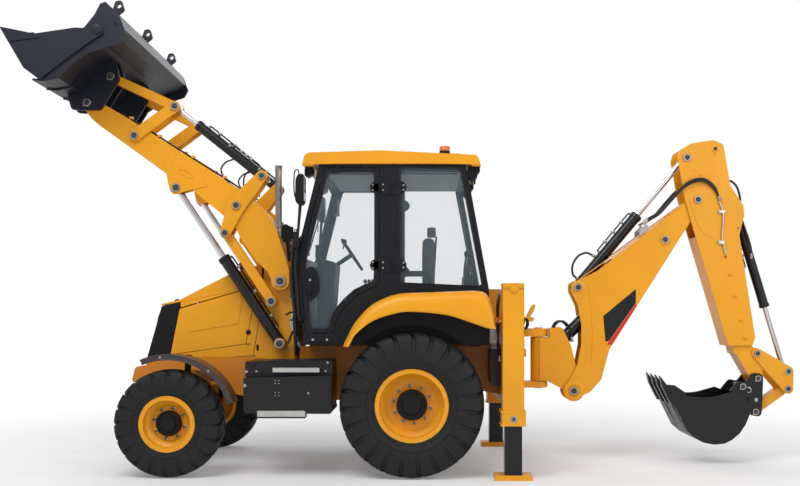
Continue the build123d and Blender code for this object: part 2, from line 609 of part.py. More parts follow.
with BuildPart() as tip_levers:
    for name, side in SIDES:
        for layer in (LEVER_INNER, LEVER_OUTER):
            link([(TIP_PIVOT, 55), (TILT_TOP, 50)], *layer, side)
        pin(TIP_PIVOT, BOLT, LEVER_INNER[0], LEVER_OUTER[1], side)
        for centre in (TIP_PIVOT, TILT_TOP):
            pin(centre, 44, LEVER_OUTER[1], LEVER_OUTER[1] + PIN_HEAD, side)
        pin(TILT_TOP, 24, LEVER_INNER[1], ARM_Y - EYE_HALF, side)
        pin(TILT_TOP, 24, ARM_Y + EYE_HALF, LEVER_OUTER[0], side)
save(tip_levers, "tip_levers")

with BuildPart() as bucket_links:
    for name, side in SIDES:
        ends = [(TILT_TOP, 45), (BUCKET_LINK, 38)]
        near, far = ARM_INSIDE + 4, ARM_OUTSIDE - 4
        link(ends, near, near + LINK_PLATE, side)
        link(ends, far - LINK_PLATE, far, side)
        link([(towards(TILT_TOP, BUCKET_LINK, 200), 38), (BUCKET_LINK, 38)], near, far, side)
        pin(TILT_TOP, 24 + FIT, near - 5, far + 5, side, mode=Mode.SUBTRACT)
save(bucket_links, "bucket_links")

TILT_EYE = (44, EYE_HALF, 26)
with BuildPart() as tilt_barrels:
    for name, side in SIDES:
        barrel(TILT_BASE, TILT_TOP, side * ARM_Y, 800, 48, 24, (48, 52, 26))
save(tilt_barrels, "tilt_barrels")

with BuildPart() as tilt_rods:
    for name, side in SIDES:
        ram_rod(TILT_BASE, TILT_TOP, side * ARM_Y, 800, 24, (44, EYE_HALF - 5))
save(tilt_rods, "tilt_rods")

with BuildPart() as lift_barrels:
    for name, side in SIDES:
        barrel(LIFT_BASE, LIFT_TOP, side * ARM_Y, 990, 55, 30, (55, 55, 30))
save(lift_barrels, "lift_barrels")

with BuildPart() as lift_rods:
    for name, side in SIDES:
        ram_rod(LIFT_BASE, LIFT_TOP, side * ARM_Y, 900, 30, (48, EYE_HALF))
save(lift_rods, "lift_rods")

# bucket: back with its end plates and arm ears, and the clam with the side plates
BUCKET_TURN = radians(59.7)
END_PLATE = (BUCKET_HALF - 40, BUCKET_HALF - 24)
CLAM_PLATE = (BUCKET_HALF - 20, BUCKET_HALF - 4)


def bucket_points(corners):
    """Side points from (ahead, above) the bucket's pivot, measured along its floor."""
    points = []
    for ahead, above, *radius in corners:
        x = BUCKET_PIVOT[0] + ahead * cos(BUCKET_TURN) - above * sin(BUCKET_TURN)
        z = BUCKET_PIVOT[1] + ahead * sin(BUCKET_TURN) + above * cos(BUCKET_TURN)
        points.append((x, z, *radius))
    return points


BACK_FACE = [(216, -214), (150, -120), (110, 0), (172, 150), (225, 300), (222, 480), (190, 630),
             (206, 722), (310, 748), (490, 705)]
BACK_INSIDE = [(486, 688), (312, 731), (219, 708), (206, 632), (238, 482), (241, 296), (187, 144),
               (128, 0), (164, -112), (228, -202)]
BUCKET_END = [(216, -214), (150, -120), (110, 0), (165, 180), (175, 320), (140, 480), (105, 640),
              (150, 720), (310, 748), (490, 705), (499, 654), (440, 560, 40), (383, 410), (250, 100),
              (200, -140)]
BUCKET_EAR = [(155, -125), (21, -163, 30), (-17, -113, 30), (-125, 72, 40), (-100, 130, 30),
              (30, 370, 40), (120, 410, 30), (230, 430), (233, 300), (180, 150), (118, 0)]
CLAM_SIDE = [(769, -221), (557, 16), (419, 359), (383, 410), (360, 540, 40), (300, 575, 40),
             (250, 540, 40), (245, 400), (215, 100), (180, -152, 30), (345, -221)]
CLAM_FLOOR = [(769, -221), (345, -221), (240, -176), (247, -160), (349, -203), (735, -203)]
LUG = [(420, 722), (430, 790, 25), (520, 812, 25), (540, 760, 20), (490, 700)]

with BuildPart() as loader_bucket:
    slab(bucket_points(BACK_FACE + BACK_INSIDE), -END_PLATE[1], END_PLATE[1])
    for name, side in SIDES:
        slab(bucket_points(BUCKET_END), *END_PLATE, side)
        for layer in (LEVER_INNER, LEVER_OUTER):
            slab(bucket_points(BUCKET_EAR), *layer, side)
        pin(BUCKET_PIVOT, BOLT, LEVER_INNER[0], LEVER_OUTER[1], side)
        for centre in (BUCKET_PIVOT, BUCKET_LINK):
            pin(centre, 44, LEVER_OUTER[1], LEVER_OUTER[1] + PIN_HEAD, side)
        pin(CLAM_PIVOT, BOLT, END_PLATE[1], CLAM_PLATE[1], side)
    for y in (-880, 0, 880):
        slab(bucket_points(LUG), y - 15, y + 15)
        pin(bucket_points([(485, 766)])[0], 20, y - 20, y + 20, mode=Mode.SUBTRACT)
save(loader_bucket, "loader_bucket")

with BuildPart() as bucket_clam:
    for name, side in SIDES:
        slab(bucket_points(CLAM_SIDE), *CLAM_PLATE, side)
        pin(CLAM_PIVOT, BOLT + FIT, END_PLATE[0], BUCKET_HALF + 5, side, mode=Mode.SUBTRACT)
    slab(bucket_points(CLAM_FLOOR), -CLAM_PLATE[0], CLAM_PLATE[0])
save(bucket_clam, "bucket_clam")

# ---- rear frame and stabilizers ----------------------------------------------------------------
LEG_X = -904
HOUSING_X = (LEG_X - LEG_SIZE / 2 - 14, LEG_X + LEG_SIZE / 2 + 20)
HOUSING_Z = (612, 1744)
HOUSING_HALF = LEG_SIZE / 2 + 15
PLATE_X = (FRAME_END - 40, FRAME_END - SEAT)
UPPER_RAIL = (1330, 1400)
LOWER_RAIL = (640, 720)
RAIL_X = (-1000, FRAME_END - 40)

with BuildPart() as rear_frame:
    box(PLATE_X, (-LEG_Y + 80, LEG_Y - 80), (LOWER_RAIL[0], UPPER_RAIL[1]))
    for z in (UPPER_RAIL, LOWER_RAIL):
        box(RAIL_X, (-LEG_Y + 80, LEG_Y - 80), z)
    for name, side in SIDES:
        box(HOUSING_X, span(LEG_Y - HOUSING_HALF, LEG_Y + HOUSING_HALF, side), HOUSING_Z)
        box((HOUSING_X[0] - 18, HOUSING_X[1] + 6),
            span(LEG_Y - HOUSING_HALF - 10, LEG_Y + HOUSING_HALF + 10, side), (484, HOUSING_Z[0]))
        for inner, z in ((LEG_SIZE / 2 + 3, (HOUSING_Z[0], HOUSING_Z[1] - 12)),
                         (LEG_SIZE / 2 + 0.8, (480, HOUSING_Z[0]))):
            box((LEG_X - inner, LEG_X + inner), span(LEG_Y - inner, LEG_Y + inner, side), z,
                mode=Mode.SUBTRACT)
        pin((LEG_X - 2, 1704), 30, LEG_Y + HOUSING_HALF, LEG_Y + HOUSING_HALF + 14, side)
    slab([(PLATE_X[1] - 1, 812), (-722, 812, 40), (-722, 1160, 40), (PLATE_X[1] - 1, 1160)], 420, 800)
save(rear_frame, "rear_frame")

for name, side in SIDES:
    with BuildPart() as leg:
        half = LEG_SIZE / 2
        box((LEG_X - half, LEG_X + half), span(LEG_Y - half, LEG_Y + half, side), (46, 1270))
        box((LEG_X - half + LEG_WALL, LEG_X + half - LEG_WALL),
            span(LEG_Y - half + LEG_WALL, LEG_Y + half - LEG_WALL, side), (46, 1270), mode=Mode.SUBTRACT)
        box((LEG_X - 168, LEG_X + 168), span(960, 1165, side), (0, 46))
    save(leg, f"{name}_stabilizer")

# ---- swing carriage and post ----------------------------------------------------------------------
LUG_RADIUS = 90
UPPER_LUG = (1250, 1330)
LOWER_LUG = (740, 800)
SWING_PIN = 40
CARRIAGE_HALF = 250
CARRIAGE_X = (-1045, -1005)
with BuildPart() as carriage:
    box(CARRIAGE_X, (-CARRIAGE_HALF, CARRIAGE_HALF), (600, 1440))
    for z in ((UPPER_RAIL[1] + SEAT, UPPER_RAIL[1] + 25), (LOWER_RAIL[0] - 25, LOWER_RAIL[0] - SEAT)):
        box((CARRIAGE_X[1] - 1, -960), (-CARRIAGE_HALF, CARRIAGE_HALF), z)
    for z in (UPPER_LUG, LOWER_LUG):
        box((SWING_X, CARRIAGE_X[0]), (-LUG_RADIUS, LUG_RADIUS), z)
        post(SWING_X, 0, z, LUG_RADIUS)
    for z in (UPPER_LUG, LOWER_LUG):
        post(SWING_X, 0, (z[0] - 10, z[1] + 10), SWING_PIN + FIT, mode=Mode.SUBTRACT)
    for y in (-190, 190):
        rod((CARRIAGE_X[0], 1090), (-1112, 1090), 36, y)
save(carriage, "carriage")

POST_HALF = BOOM_INSIDE - RUN
POST_SLOT = 62
with BuildPart() as swing_post:
    post(SWING_X, 0, (LOWER_LUG[1] + RUN, UPPER_LUG[0] - RUN), 80)
    slab([(SWING_X, 1240), (-1360, 1240), (-1360, 1335, 20), (-1481, 1345, 30), (-1571, 1166),
          (-1620, 967), (-1677, 710), (-1597, 630), (-1517, 710), (-1365, 790), (-1365, 810),
          (SWING_X, 810)], -POST_HALF, POST_HALF)
    pin(BOOM_FOOT, 80, -POST_HALF, POST_HALF)
    slab([(-1400, 1400), (-1400, 1130), (-1450, 1110), (-1760, 800), (-1760, 1400)],
         -POST_SLOT, POST_SLOT, mode=Mode.SUBTRACT)
    post(SWING_X, 0, (LOWER_LUG[0] - 10, UPPER_LUG[1] + 10), SWING_PIN)
    pin(BOOM_FOOT, 38, -BOOM_OUTSIDE - PIN_HEAD, BOOM_OUTSIDE + PIN_HEAD)
    pin(BOOM_RAM_BASE, 30, -POST_HALF, POST_HALF)
save(swing_post, "swing_post")

# ---- boom -------------------------------------------------------------------------------------------
BOOM = [(-1533, 771), (-1632, 970), (-1672, 1168), (-1672, 1366), (-1640, 1560), (-1573, 1700, 30),
        (-1573, 1783, 20), (-1632, 1802), (-1830, 1905), (-2743, 2606), (-2790, 2678), (-2902, 2612),
        (-2842, 2526), (-1950, 1118), (-1870, 821), (-1751, 692), (-1632, 642)]
BOOM_EYE = 55
with BuildPart() as boom:
    for name, side in SIDES:
        slab(BOOM, BOOM_INSIDE, BOOM_OUTSIDE, side)
        pin(BOOM_FOOT, 80, BOOM_INSIDE, BOOM_OUTSIDE, side)
        pin(DIPPER_PIVOT, 75, BOOM_INSIDE, BOOM_OUTSIDE, side)
        pin(BOOM_FOOT, 38 + FIT, BOOM_INSIDE - 5, BOOM_OUTSIDE + 5, side, mode=Mode.SUBTRACT)
        pin(BOOM_RAM_TOP, 44, BOOM_OUTSIDE, BOOM_OUTSIDE + PIN_HEAD, side)
        pin(BOOM_RAM_TOP, 52, BOOM_EYE + RUN, BOOM_INSIDE, side)
        pin(DIPPER_RAM_BASE, 44, BOOM_OUTSIDE, BOOM_OUTSIDE + PIN_HEAD, side)
        pin(DIPPER_RAM_BASE, 52, BOOM_EYE + RUN, BOOM_INSIDE, side)
    # lower webs, with room for the ram's eye between them, and the upper web
    slab([(-1771, 706), (-1870, 821), (-1950, 1118), (-2480, 1955), (-2466, 1963), (-1935, 1124),
          (-1856, 828), (-1758, 715)], -BOOM_INSIDE, BOOM_INSIDE)
    slab([(-2660, 2239), (-2842, 2526), (-2828, 2534), (-2646, 2247)], -BOOM_INSIDE, BOOM_INSIDE)
    slab([(-1990, 2028), (-2743, 2606), (-2751, 2595), (-1998, 2017)], -BOOM_INSIDE, BOOM_INSIDE)
    pin(DIPPER_RAM_BASE, 28, -BOOM_INSIDE, BOOM_INSIDE)
    pin(DIPPER_PIVOT, 36, -DIPPER_OUTSIDE - PIN_HEAD, DIPPER_OUTSIDE + PIN_HEAD)
save(boom, "boom")

with BuildPart() as boom_barrel:
    barrel(BOOM_RAM_BASE, BOOM_RAM_TOP, 0, 1150, 62, 32, (58, BOOM_EYE, 30))
save(boom_barrel, "boom_barrel")
with BuildPart() as boom_rod:
    ram_rod(BOOM_RAM_BASE, BOOM_RAM_TOP, 0, 1150, 32, (46, BOOM_EYE))
save(boom_rod, "boom_rod")

# ---- dipper -----------------------------------------------------------------------------------------
DIPPER = [(-2624, 3032, 30), (-2644, 3101, 20), (-2763, 3171, 20), (-2981, 3205, 20), (-3080, 3161, 20),
          (-3149, 2754), (-3278, 2556), (-3288, 2457), (-3239, 2259), (-3396, 1240), (-3372, 1166),
          (-3129, 1158), (-2763, 2387), (-2693, 2645)]
INNER_HALF = 110
TUBE_FOOT = (-3275, 1160)
TUBE_TURN = radians(75.76)
CROWD_HALF = 46


def tube_point(along, across_tube):
    """A side point from (along, ahead of) the sliding tube's foot and axis."""
    return (TUBE_FOOT[0] + along * cos(TUBE_TURN) + across_tube * sin(TUBE_TURN),
            TUBE_FOOT[1] + along * sin(TUBE_TURN) - across_tube * cos(TUBE_TURN))


SLIDE_SLOT = 70
with BuildPart() as dipper:
    for name, side in SIDES:
        slab(DIPPER, DIPPER_INSIDE, DIPPER_OUTSIDE, side)
        pin(DIPPER_PIVOT, 36 + FIT, DIPPER_INSIDE - 5, DIPPER_OUTSIDE + 5, side, mode=Mode.SUBTRACT)
        pin(DIPPER_RAM_TOP, 44, DIPPER_OUTSIDE, DIPPER_OUTSIDE + PIN_HEAD, side)
        pin(DIPPER_RAM_TOP, 50, BOOM_EYE, DIPPER_INSIDE, side)
        slab([(-3239, 2259), (-3396, 1240), (-3382, 1238), (-3225, 2257)], SLIDE_SLOT, DIPPER_INSIDE,
             side)
    slab([(-3129, 1158), (-2805, 2240), (-2819, 2244), (-3143, 1162)], -DIPPER_INSIDE, DIPPER_INSIDE)
    slab([(-2981, 3205), (-3080, 3161), (-3074, 3147), (-2975, 3191)], -DIPPER_INSIDE, DIPPER_INSIDE)
    for name, side in SIDES:
        # wear pads that guide the sliding tube
        for along in (30, 950):
            slab([tube_point(along, -70), tube_point(along, 70), tube_point(along + 110, 70),
                  tube_point(along + 110, -70)], INNER_HALF + SEAT, DIPPER_INSIDE, side)
save(dipper, "dipper")

with BuildPart() as dipper_barrel:
    barrel(DIPPER_RAM_BASE, DIPPER_RAM_TOP, 0, 950, 56, 30, (56, BOOM_EYE, 28))
save(dipper_barrel, "dipper_barrel")
with BuildPart() as dipper_rod:
    ram_rod(DIPPER_RAM_BASE, DIPPER_RAM_TOP, 0, 950, 30, (50, BOOM_EYE - 5))
save(dipper_rod, "dipper_rod")

with BuildPart() as inner_dipper:
    slab([tube_point(-60, -95), tube_point(-60, 95), tube_point(1380, 95), tube_point(1380, -95)],
         -INNER_HALF, INNER_HALF)
    slab([tube_point(60, -80), tube_point(60, 80), tube_point(1400, 80), tube_point(1400, -80)],
         -INNER_HALF + 14, INNER_HALF - 14, mode=Mode.SUBTRACT)
    link([(CROWD_LEVER_PIVOT, 52), (DIG_PIVOT, 58)], -INNER_HALF, INNER_HALF)
    slab([tube_point(0, -90), tube_point(0, 95), (-3380, 790), (-3424, 835), CROWD_LEVER_PIVOT],
         -INNER_HALF, INNER_HALF)
    for name, side in SIDES:
        # ears of the bucket ram, through the slot of the outer dipper
        slab([tube_point(1380, -90), tube_point(1150, -90), (-3215, 2440), CROWD_RAM_BASE, (-3210, 2556)],
             CROWD_HALF + 2, SLIDE_SLOT - RUN, side)
        pin(CROWD_RAM_BASE, 48, CROWD_HALF + 2, SLIDE_SLOT - RUN, side)
    pin(CROWD_RAM_BASE, 26, -SLIDE_SLOT + RUN, SLIDE_SLOT - RUN)
    for centre in (CROWD_LEVER_PIVOT, DIG_PIVOT):
        pin(centre, 28, -INNER_HALF - 30, INNER_HALF + 30)
save(inner_dipper, "inner_dipper")

with BuildPart() as crowd_barrel:
    barrel(CROWD_RAM_BASE, CROWD_RAM_TOP, 0, 1000, 46, 24, (46, CROWD_HALF, 26))
save(crowd_barrel, "crowd_barrel")
with BuildPart() as crowd_rod:
    ram_rod(CROWD_RAM_BASE, CROWD_RAM_TOP, 0, 900, 24, (36, 60))
save(crowd_rod, "crowd_rod")

LEVER_Y = (INNER_HALF + RUN, INNER_HALF + RUN + 16)
with BuildPart() as crowd_lever:
    for name, side in SIDES:
        link([(CROWD_LEVER_PIVOT, 50), (CROWD_RAM_TOP, 50)], *LEVER_Y, side)
        link([(CROWD_RAM_TOP, 50), (CROWD_LINK_TOP, 50)], *LEVER_Y, side)
        link([(CROWD_LEVER_PIVOT, 50), (CROWD_LINK_TOP, 50)], *LEVER_Y, side)
        pin(CROWD_LEVER_PIVOT, 28 + FIT, 100, 140, side, mode=Mode.SUBTRACT)
        pin(CROWD_RAM_TOP, 40, 62, LEVER_Y[0], side)
    pin(CROWD_LINK_TOP, 26, -LEVER_Y[1], LEVER_Y[1])
save(crowd_lever, "crowd_lever")

with BuildPart() as crowd_link:
    link([(CROWD_LINK_TOP, 42), (CROWD_LINK_FOOT, 46)], -60, 60)
    pin(CROWD_LINK_TOP, 26 + FIT, -80, 80, mode=Mode.SUBTRACT)
save(crowd_link, "crowd_link")

# ---- quick hitch and digging bucket ----------------------------------------------------------------
HITCH_PIN = (-3267, 756)
HITCH = [(-3480, 880, 50), (-3370, 890, 50), (-3300, 800), (-3210, 790, 40), (-3220, 700, 40),
         (-3330, 640), (-3350, 470, 40), (-3460, 450, 40), (-3470, 600)]
with BuildPart() as quick_hitch:
    for name, side in SIDES:
        slab(HITCH, *LEVER_Y, side)
        pin(DIG_PIVOT, 28 + FIT, 100, 140, side, mode=Mode.SUBTRACT)
        pin(CROWD_LINK_FOOT, 40, 65, LEVER_Y[0], side)
    pin(HITCH_PIN, 30, -160, 160)
save(quick_hitch, "quick_hitch")

DIG_SIDE = [(-2450, 790), (-2517, 649), (-2675, 332), (-2761, 259), (-2846, 217), (-2943, 200),
            (-3041, 210), (-3114, 247), (-3187, 308), (-3245, 395), (-3285, 490), (-3290, 570),
            (-3250, 660), (-3137, 716), (-3017, 682), (-2919, 658), (-2797, 652), (-2664, 668),
            (-2657, 710), (-2553, 780)]
DIG_INNER = [(-2472, 790), (-2532, 656), (-2688, 342), (-2768, 274), (-2850, 233), (-2943, 216),
             (-3035, 226), (-3104, 261), (-3175, 318), (-3230, 402), (-3268, 493), (-3273, 566),
             (-3240, 645), (-3160, 700), (-3100, 900), (-2472, 900)]
TEETH = 4
TOOTH_PITCH = 183
with BuildPart() as dig_bucket:
    slab(DIG_SIDE, -DIG_BUCKET_HALF, DIG_BUCKET_HALF)
    slab(DIG_INNER, -DIG_BUCKET_HALF + 16, DIG_BUCKET_HALF - 16, mode=Mode.SUBTRACT)
    for i in range(TEETH):
        y = (i - (TEETH - 1) / 2) * TOOTH_PITCH
        slab([(-2411, 871), (-2437, 760), (-2525, 590), (-2552, 600), (-2465, 800)], y - 29, y + 29)
    for name, side in SIDES:
        slab([(-3238, 399), (-3300, 500), (-3320, 790, 40), (-3220, 810, 40), (-3140, 716),
              (-3150, 706), (-3245, 652), (-3281, 568), (-3277, 491)],
             LEVER_Y[1] + 3, LEVER_Y[1] + 19, side)
        pin(HITCH_PIN, 30 + FIT, 120, 160, side, mode=Mode.SUBTRACT)
save(dig_bucket, "dig_bucket")
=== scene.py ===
import json
from math import copysign, cos, hypot, pi, radians, sin, sqrt

import bmesh
import bpy
from mathutils import Matrix, Vector


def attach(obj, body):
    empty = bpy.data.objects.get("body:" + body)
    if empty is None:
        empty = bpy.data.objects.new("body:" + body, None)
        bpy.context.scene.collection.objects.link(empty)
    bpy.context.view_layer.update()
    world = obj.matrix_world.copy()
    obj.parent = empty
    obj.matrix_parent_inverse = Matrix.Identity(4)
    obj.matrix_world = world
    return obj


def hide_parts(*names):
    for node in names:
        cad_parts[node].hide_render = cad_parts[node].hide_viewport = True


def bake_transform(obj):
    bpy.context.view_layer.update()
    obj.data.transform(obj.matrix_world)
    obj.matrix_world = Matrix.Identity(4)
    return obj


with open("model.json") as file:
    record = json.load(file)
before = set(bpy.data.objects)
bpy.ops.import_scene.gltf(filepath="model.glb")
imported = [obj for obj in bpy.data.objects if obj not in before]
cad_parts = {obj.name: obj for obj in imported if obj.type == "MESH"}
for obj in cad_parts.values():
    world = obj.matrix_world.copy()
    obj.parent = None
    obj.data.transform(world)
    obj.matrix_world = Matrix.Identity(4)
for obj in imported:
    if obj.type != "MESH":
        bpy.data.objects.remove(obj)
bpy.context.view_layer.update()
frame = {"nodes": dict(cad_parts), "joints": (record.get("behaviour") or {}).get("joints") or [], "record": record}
scene = bpy.context.scene

# Everything is in metres in the frame of the CAD: +X forward, +Y left, +Z up. Points of a side
# view are (x, z) with x measured forward from the rear axle, as in the part's own drawing.
JOINTS = {joint["name"]: joint for joint in frame["joints"]}
NODES = frame["nodes"]
AXLE_X = JOINTS["rear_left_spin"]["pos_m"][0]
SIDES = (("left", 1), ("right", -1))


# ---- materials --------------------------------------------------------------------------------
def new_material(name, **sockets):
    """A material with one Principled shader whose plain sockets are set by name."""
    material = bpy.data.materials.new(name)
    material.use_nodes = True
    shader = material.node_tree.nodes["Principled BSDF"]
    for socket, value in sockets.items():
        shader.inputs[socket.replace("_", " ")].default_value = value
    return material, material.node_tree, shader


def add(tree, kind, **values):
    """A new node with its attributes set."""
    node = tree.nodes.new(kind)
    for key, value in values.items():
        setattr(node, key, value)
    return node


def noise(tree, place, scale, detail=4.0, rough=0.55):
    """Noise in the piece's own metres."""
    node = add(tree, "ShaderNodeTexNoise")
    node.inputs["Scale"].default_value = scale
    node.inputs["Detail"].default_value = detail
    node.inputs["Roughness"].default_value = rough
    tree.links.new(place, node.inputs["Vector"])
    return node.outputs["Fac"]


def ramp(tree, value, low, high, dark=0.0, light=1.0):
    """A value stretched so that low..high becomes dark..light."""
    node = add(tree, "ShaderNodeMapRange")
    for socket, number in (("From Min", low), ("From Max", high), ("To Min", dark), ("To Max", light)):
        node.inputs[socket].default_value = number
    tree.links.new(value, node.inputs["Value"])
    return node.outputs["Result"]


def mixed(tree, share, first, second):
    """Two colours (a colour or a socket each) mixed by a share socket."""
    node = add(tree, "ShaderNodeMix", data_type="RGBA")
    tree.links.new(share, node.inputs[0])
    for socket, colour in ((node.inputs[6], first), (node.inputs[7], second)):
        if isinstance(colour, (tuple, list)):
            socket.default_value = (*colour, 1.0)
        else:
            tree.links.new(colour, socket)
    return node.outputs[2]


def bump(tree, shader, height, strength, distance):
    """Height to the shader's normal."""
    node = add(tree, "ShaderNodeBump")
    node.inputs["Strength"].default_value = strength
    node.inputs["Distance"].default_value = distance
    tree.links.new(height, node.inputs["Height"])
    tree.links.new(node.outputs["Normal"], shader.inputs["Normal"])


def times(tree, first, second, mode="MULTIPLY"):
    """Two values joined by one sum."""
    node = add(tree, "ShaderNodeMath", operation=mode)
    for socket, value in zip(node.inputs, (first, second)):
        if isinstance(value, (int, float)):
            socket.default_value = value
        else:
            tree.links.new(value, socket)
    return node.outputs[0]


def place_of(tree):
    """The piece's own coordinates, in metres."""
    return add(tree, "ShaderNodeTexCoord").outputs["Object"]


def height_of(tree, place):
    """The z of a place."""
    node = add(tree, "ShaderNodeSeparateXYZ")
    tree.links.new(place, node.inputs[0])
    return node.outputs[2]


def worn_edges(tree, grain, amount):
    """A mask of sharp corners, broken up by a grain."""
    bent = add(tree, "ShaderNodeBevel", samples=6)
    bent.inputs["Radius"].default_value = 0.006
    flat = add(tree, "ShaderNodeNewGeometry")
    dot = add(tree, "ShaderNodeVectorMath", operation="DOT_PRODUCT")
    tree.links.new(bent.outputs[0], dot.inputs[0])
    tree.links.new(flat.outputs["Normal"], dot.inputs[1])
    edge = ramp(tree, dot.outputs["Value"], 0.995, 0.90)
    patch = ramp(tree, grain, 0.62 - amount, 0.66 - amount)
    return times(tree, edge, patch)


def painted(name, colour, rough, dust=0.12, wear=0.05, chip=(0.16, 0.12, 0.09), coat=0.10, patch=None):
    """Sprayed paint: soft colour drift, orange peel, dust low down and chipped corners."""
    material, tree, shader = new_material(name, Coat_Weight=coat, Coat_Roughness=0.12,
        Specular_IOR_Level=0.32)
    place = place_of(tree)
    wide = noise(tree, place, 1.7, 3.0)
    fine = noise(tree, place, 38.0, 5.0)
    grit = noise(tree, place, 420.0, 2.0)
    drift = mixed(tree, ramp(tree, wide, 0.3, 0.7), [c * 0.94 for c in colour],
        [min(1, c * 1.05) for c in colour])
    if patch:
        other, low_corner, high_corner = patch
        parts = add(tree, "ShaderNodeSeparateXYZ")
        tree.links.new(place, parts.inputs[0])
        share = None
        for axis in range(3):
            for edge, sense in ((low_corner[axis], 0.0005), (high_corner[axis], -0.0005)):
                step = ramp(tree, parts.outputs[axis], edge - sense, edge + sense)
                share = times(tree, share, step) if share else step
        drift = mixed(tree, share, drift, other)
    low = ramp(tree, height_of(tree, place), 1.3, 0.2)
    dusty = times(tree, times(tree, low, ramp(tree, fine, 0.42, 0.75)), dust)
    layer = mixed(tree, dusty, drift, (0.30, 0.25, 0.19))
    if wear:
        layer = mixed(tree, worn_edges(tree, fine, wear), layer, chip)
    tree.links.new(layer, shader.inputs["Base Color"])
    sheen = times(tree, ramp(tree, fine, 0.3, 0.7, rough - 0.05, rough + 0.07), times(tree, dusty, 0.8),
        "ADD")
    tree.links.new(sheen, shader.inputs["Roughness"])
    bump(tree, shader, times(tree, grit, times(tree, wide, 2.0), "ADD"), 0.10, 0.0006)
    return material


def metal(name, colour, rough, scratch=0.12, metallic=1.0):
    """Bare or plated steel with fine scratches."""
    material, tree, shader = new_material(name, Metallic=metallic)
    place = place_of(tree)
    fine = noise(tree, place, 60.0, 6.0, 0.7)
    wide = noise(tree, place, 6.0, 3.0)
    tone = mixed(tree, ramp(tree, wide, 0.35, 0.65), [c * 0.85 for c in colour], colour)
    tree.links.new(tone, shader.inputs["Base Color"])
    tree.links.new(ramp(tree, fine, 0.3, 0.7, max(0.02, rough - scratch / 2), rough + scratch),
        shader.inputs["Roughness"])
    bump(tree, shader, fine, 0.06, 0.0004)
    return material


def rubber(name, colour, rough, grime):
    """Moulded rubber, greyed where it is dusty and scuffed."""
    material, tree, shader = new_material(name, Specular_IOR_Level=0.35)
    place = place_of(tree)
    fine = noise(tree, place, 45.0, 6.0, 0.65)
    wide = noise(tree, place, 5.0, 3.0)
    grain = noise(tree, place, 700.0, 2.0)
    share = times(tree, ramp(tree, fine, 0.40, 0.75), ramp(tree, wide, 0.35, 0.7, 0.3, 1.0))
    tree.links.new(mixed(tree, share, colour, grime), shader.inputs["Base Color"])
    tree.links.new(ramp(tree, fine, 0.3, 0.7, rough - 0.08, rough + 0.1), shader.inputs["Roughness"])
    bump(tree, shader, times(tree, fine, grain, "ADD"), 0.22, 0.0012)
    return material


def plastic(name, colour, rough, grain_scale=900.0, depth=0.0005):
    """Moulded plastic with a fine leather grain."""
    material, tree, shader = new_material(name, Specular_IOR_Level=0.2)
    place = place_of(tree)
    cells = add(tree, "ShaderNodeTexVoronoi")
    cells.inputs["Scale"].default_value = grain_scale
    tree.links.new(place, cells.inputs["Vector"])
    fine = noise(tree, place, 25.0, 4.0)
    tone = mixed(tree, ramp(tree, fine, 0.3, 0.7), [c * 0.88 for c in colour], [c * 1.18 for c in colour])
    tree.links.new(tone, shader.inputs["Base Color"])
    tree.links.new(ramp(tree, fine, 0.3, 0.7, rough - 0.06, rough + 0.08), shader.inputs["Roughness"])
    bump(tree, shader, cells.outputs["Distance"], 0.12, depth)
    return material


def glazed(name, tint, alpha):
    """Thin tinted window glass."""
    material, tree, shader = new_material(name, Transmission_Weight=0.0, IOR=1.5, Alpha=alpha,
        Specular_IOR_Level=0.6)
    place = place_of(tree)
    smear = noise(tree, place, 9.0, 4.0)
    tree.links.new(mixed(tree, ramp(tree, smear, 0.4, 0.7), tint, [c * 0.9 for c in tint]),
        shader.inputs["Base Color"])
    tree.links.new(ramp(tree, smear, 0.35, 0.7, 0.02, 0.06), shader.inputs["Roughness"])
    return material


def cloth(name, colour):
    """Woven seat cloth."""
    material, tree, shader = new_material(name, Sheen_Weight=0.4, Sheen_Roughness=0.5)
    place = place_of(tree)
    weave = add(tree, "ShaderNodeTexWave", wave_type="BANDS", bands_direction="X")
    cross = add(tree, "ShaderNodeTexWave", wave_type="BANDS", bands_direction="Z")
    for wave in (weave, cross):
        wave.inputs["Scale"].default_value = 160.0
        wave.inputs["Distortion"].default_value = 0.6
        tree.links.new(place, wave.inputs["Vector"])
    threads = times(tree, weave.outputs["Fac"], cross.outputs["Fac"])
    fine = noise(tree, place, 80.0, 4.0)
    tree.links.new(mixed(tree, threads, [c * 0.7 for c in colour], [c * 1.3 for c in colour]),
        shader.inputs["Base Color"])
    tree.links.new(ramp(tree, fine, 0.3, 0.7, 0.78, 0.92), shader.inputs["Roughness"])
    bump(tree, shader, threads, 0.4, 0.0006)
    return material


def lens(name, colour, rough=0.12):
    """Moulded lamp lens with fine ribs."""
    material, tree, shader = new_material(name, Coat_Weight=0.6, Coat_Roughness=0.05, Roughness=rough)
    place = place_of(tree)
    ribs = add(tree, "ShaderNodeTexWave", wave_type="BANDS", bands_direction="Z")
    ribs.inputs["Scale"].default_value = 90.0
    tree.links.new(place, ribs.inputs["Vector"])
    tree.links.new(mixed(tree, ribs.outputs["Fac"], [c * 0.8 for c in colour], colour),
        shader.inputs["Base Color"])
    bump(tree, shader, ribs.outputs["Fac"], 0.3, 0.001)
    return material


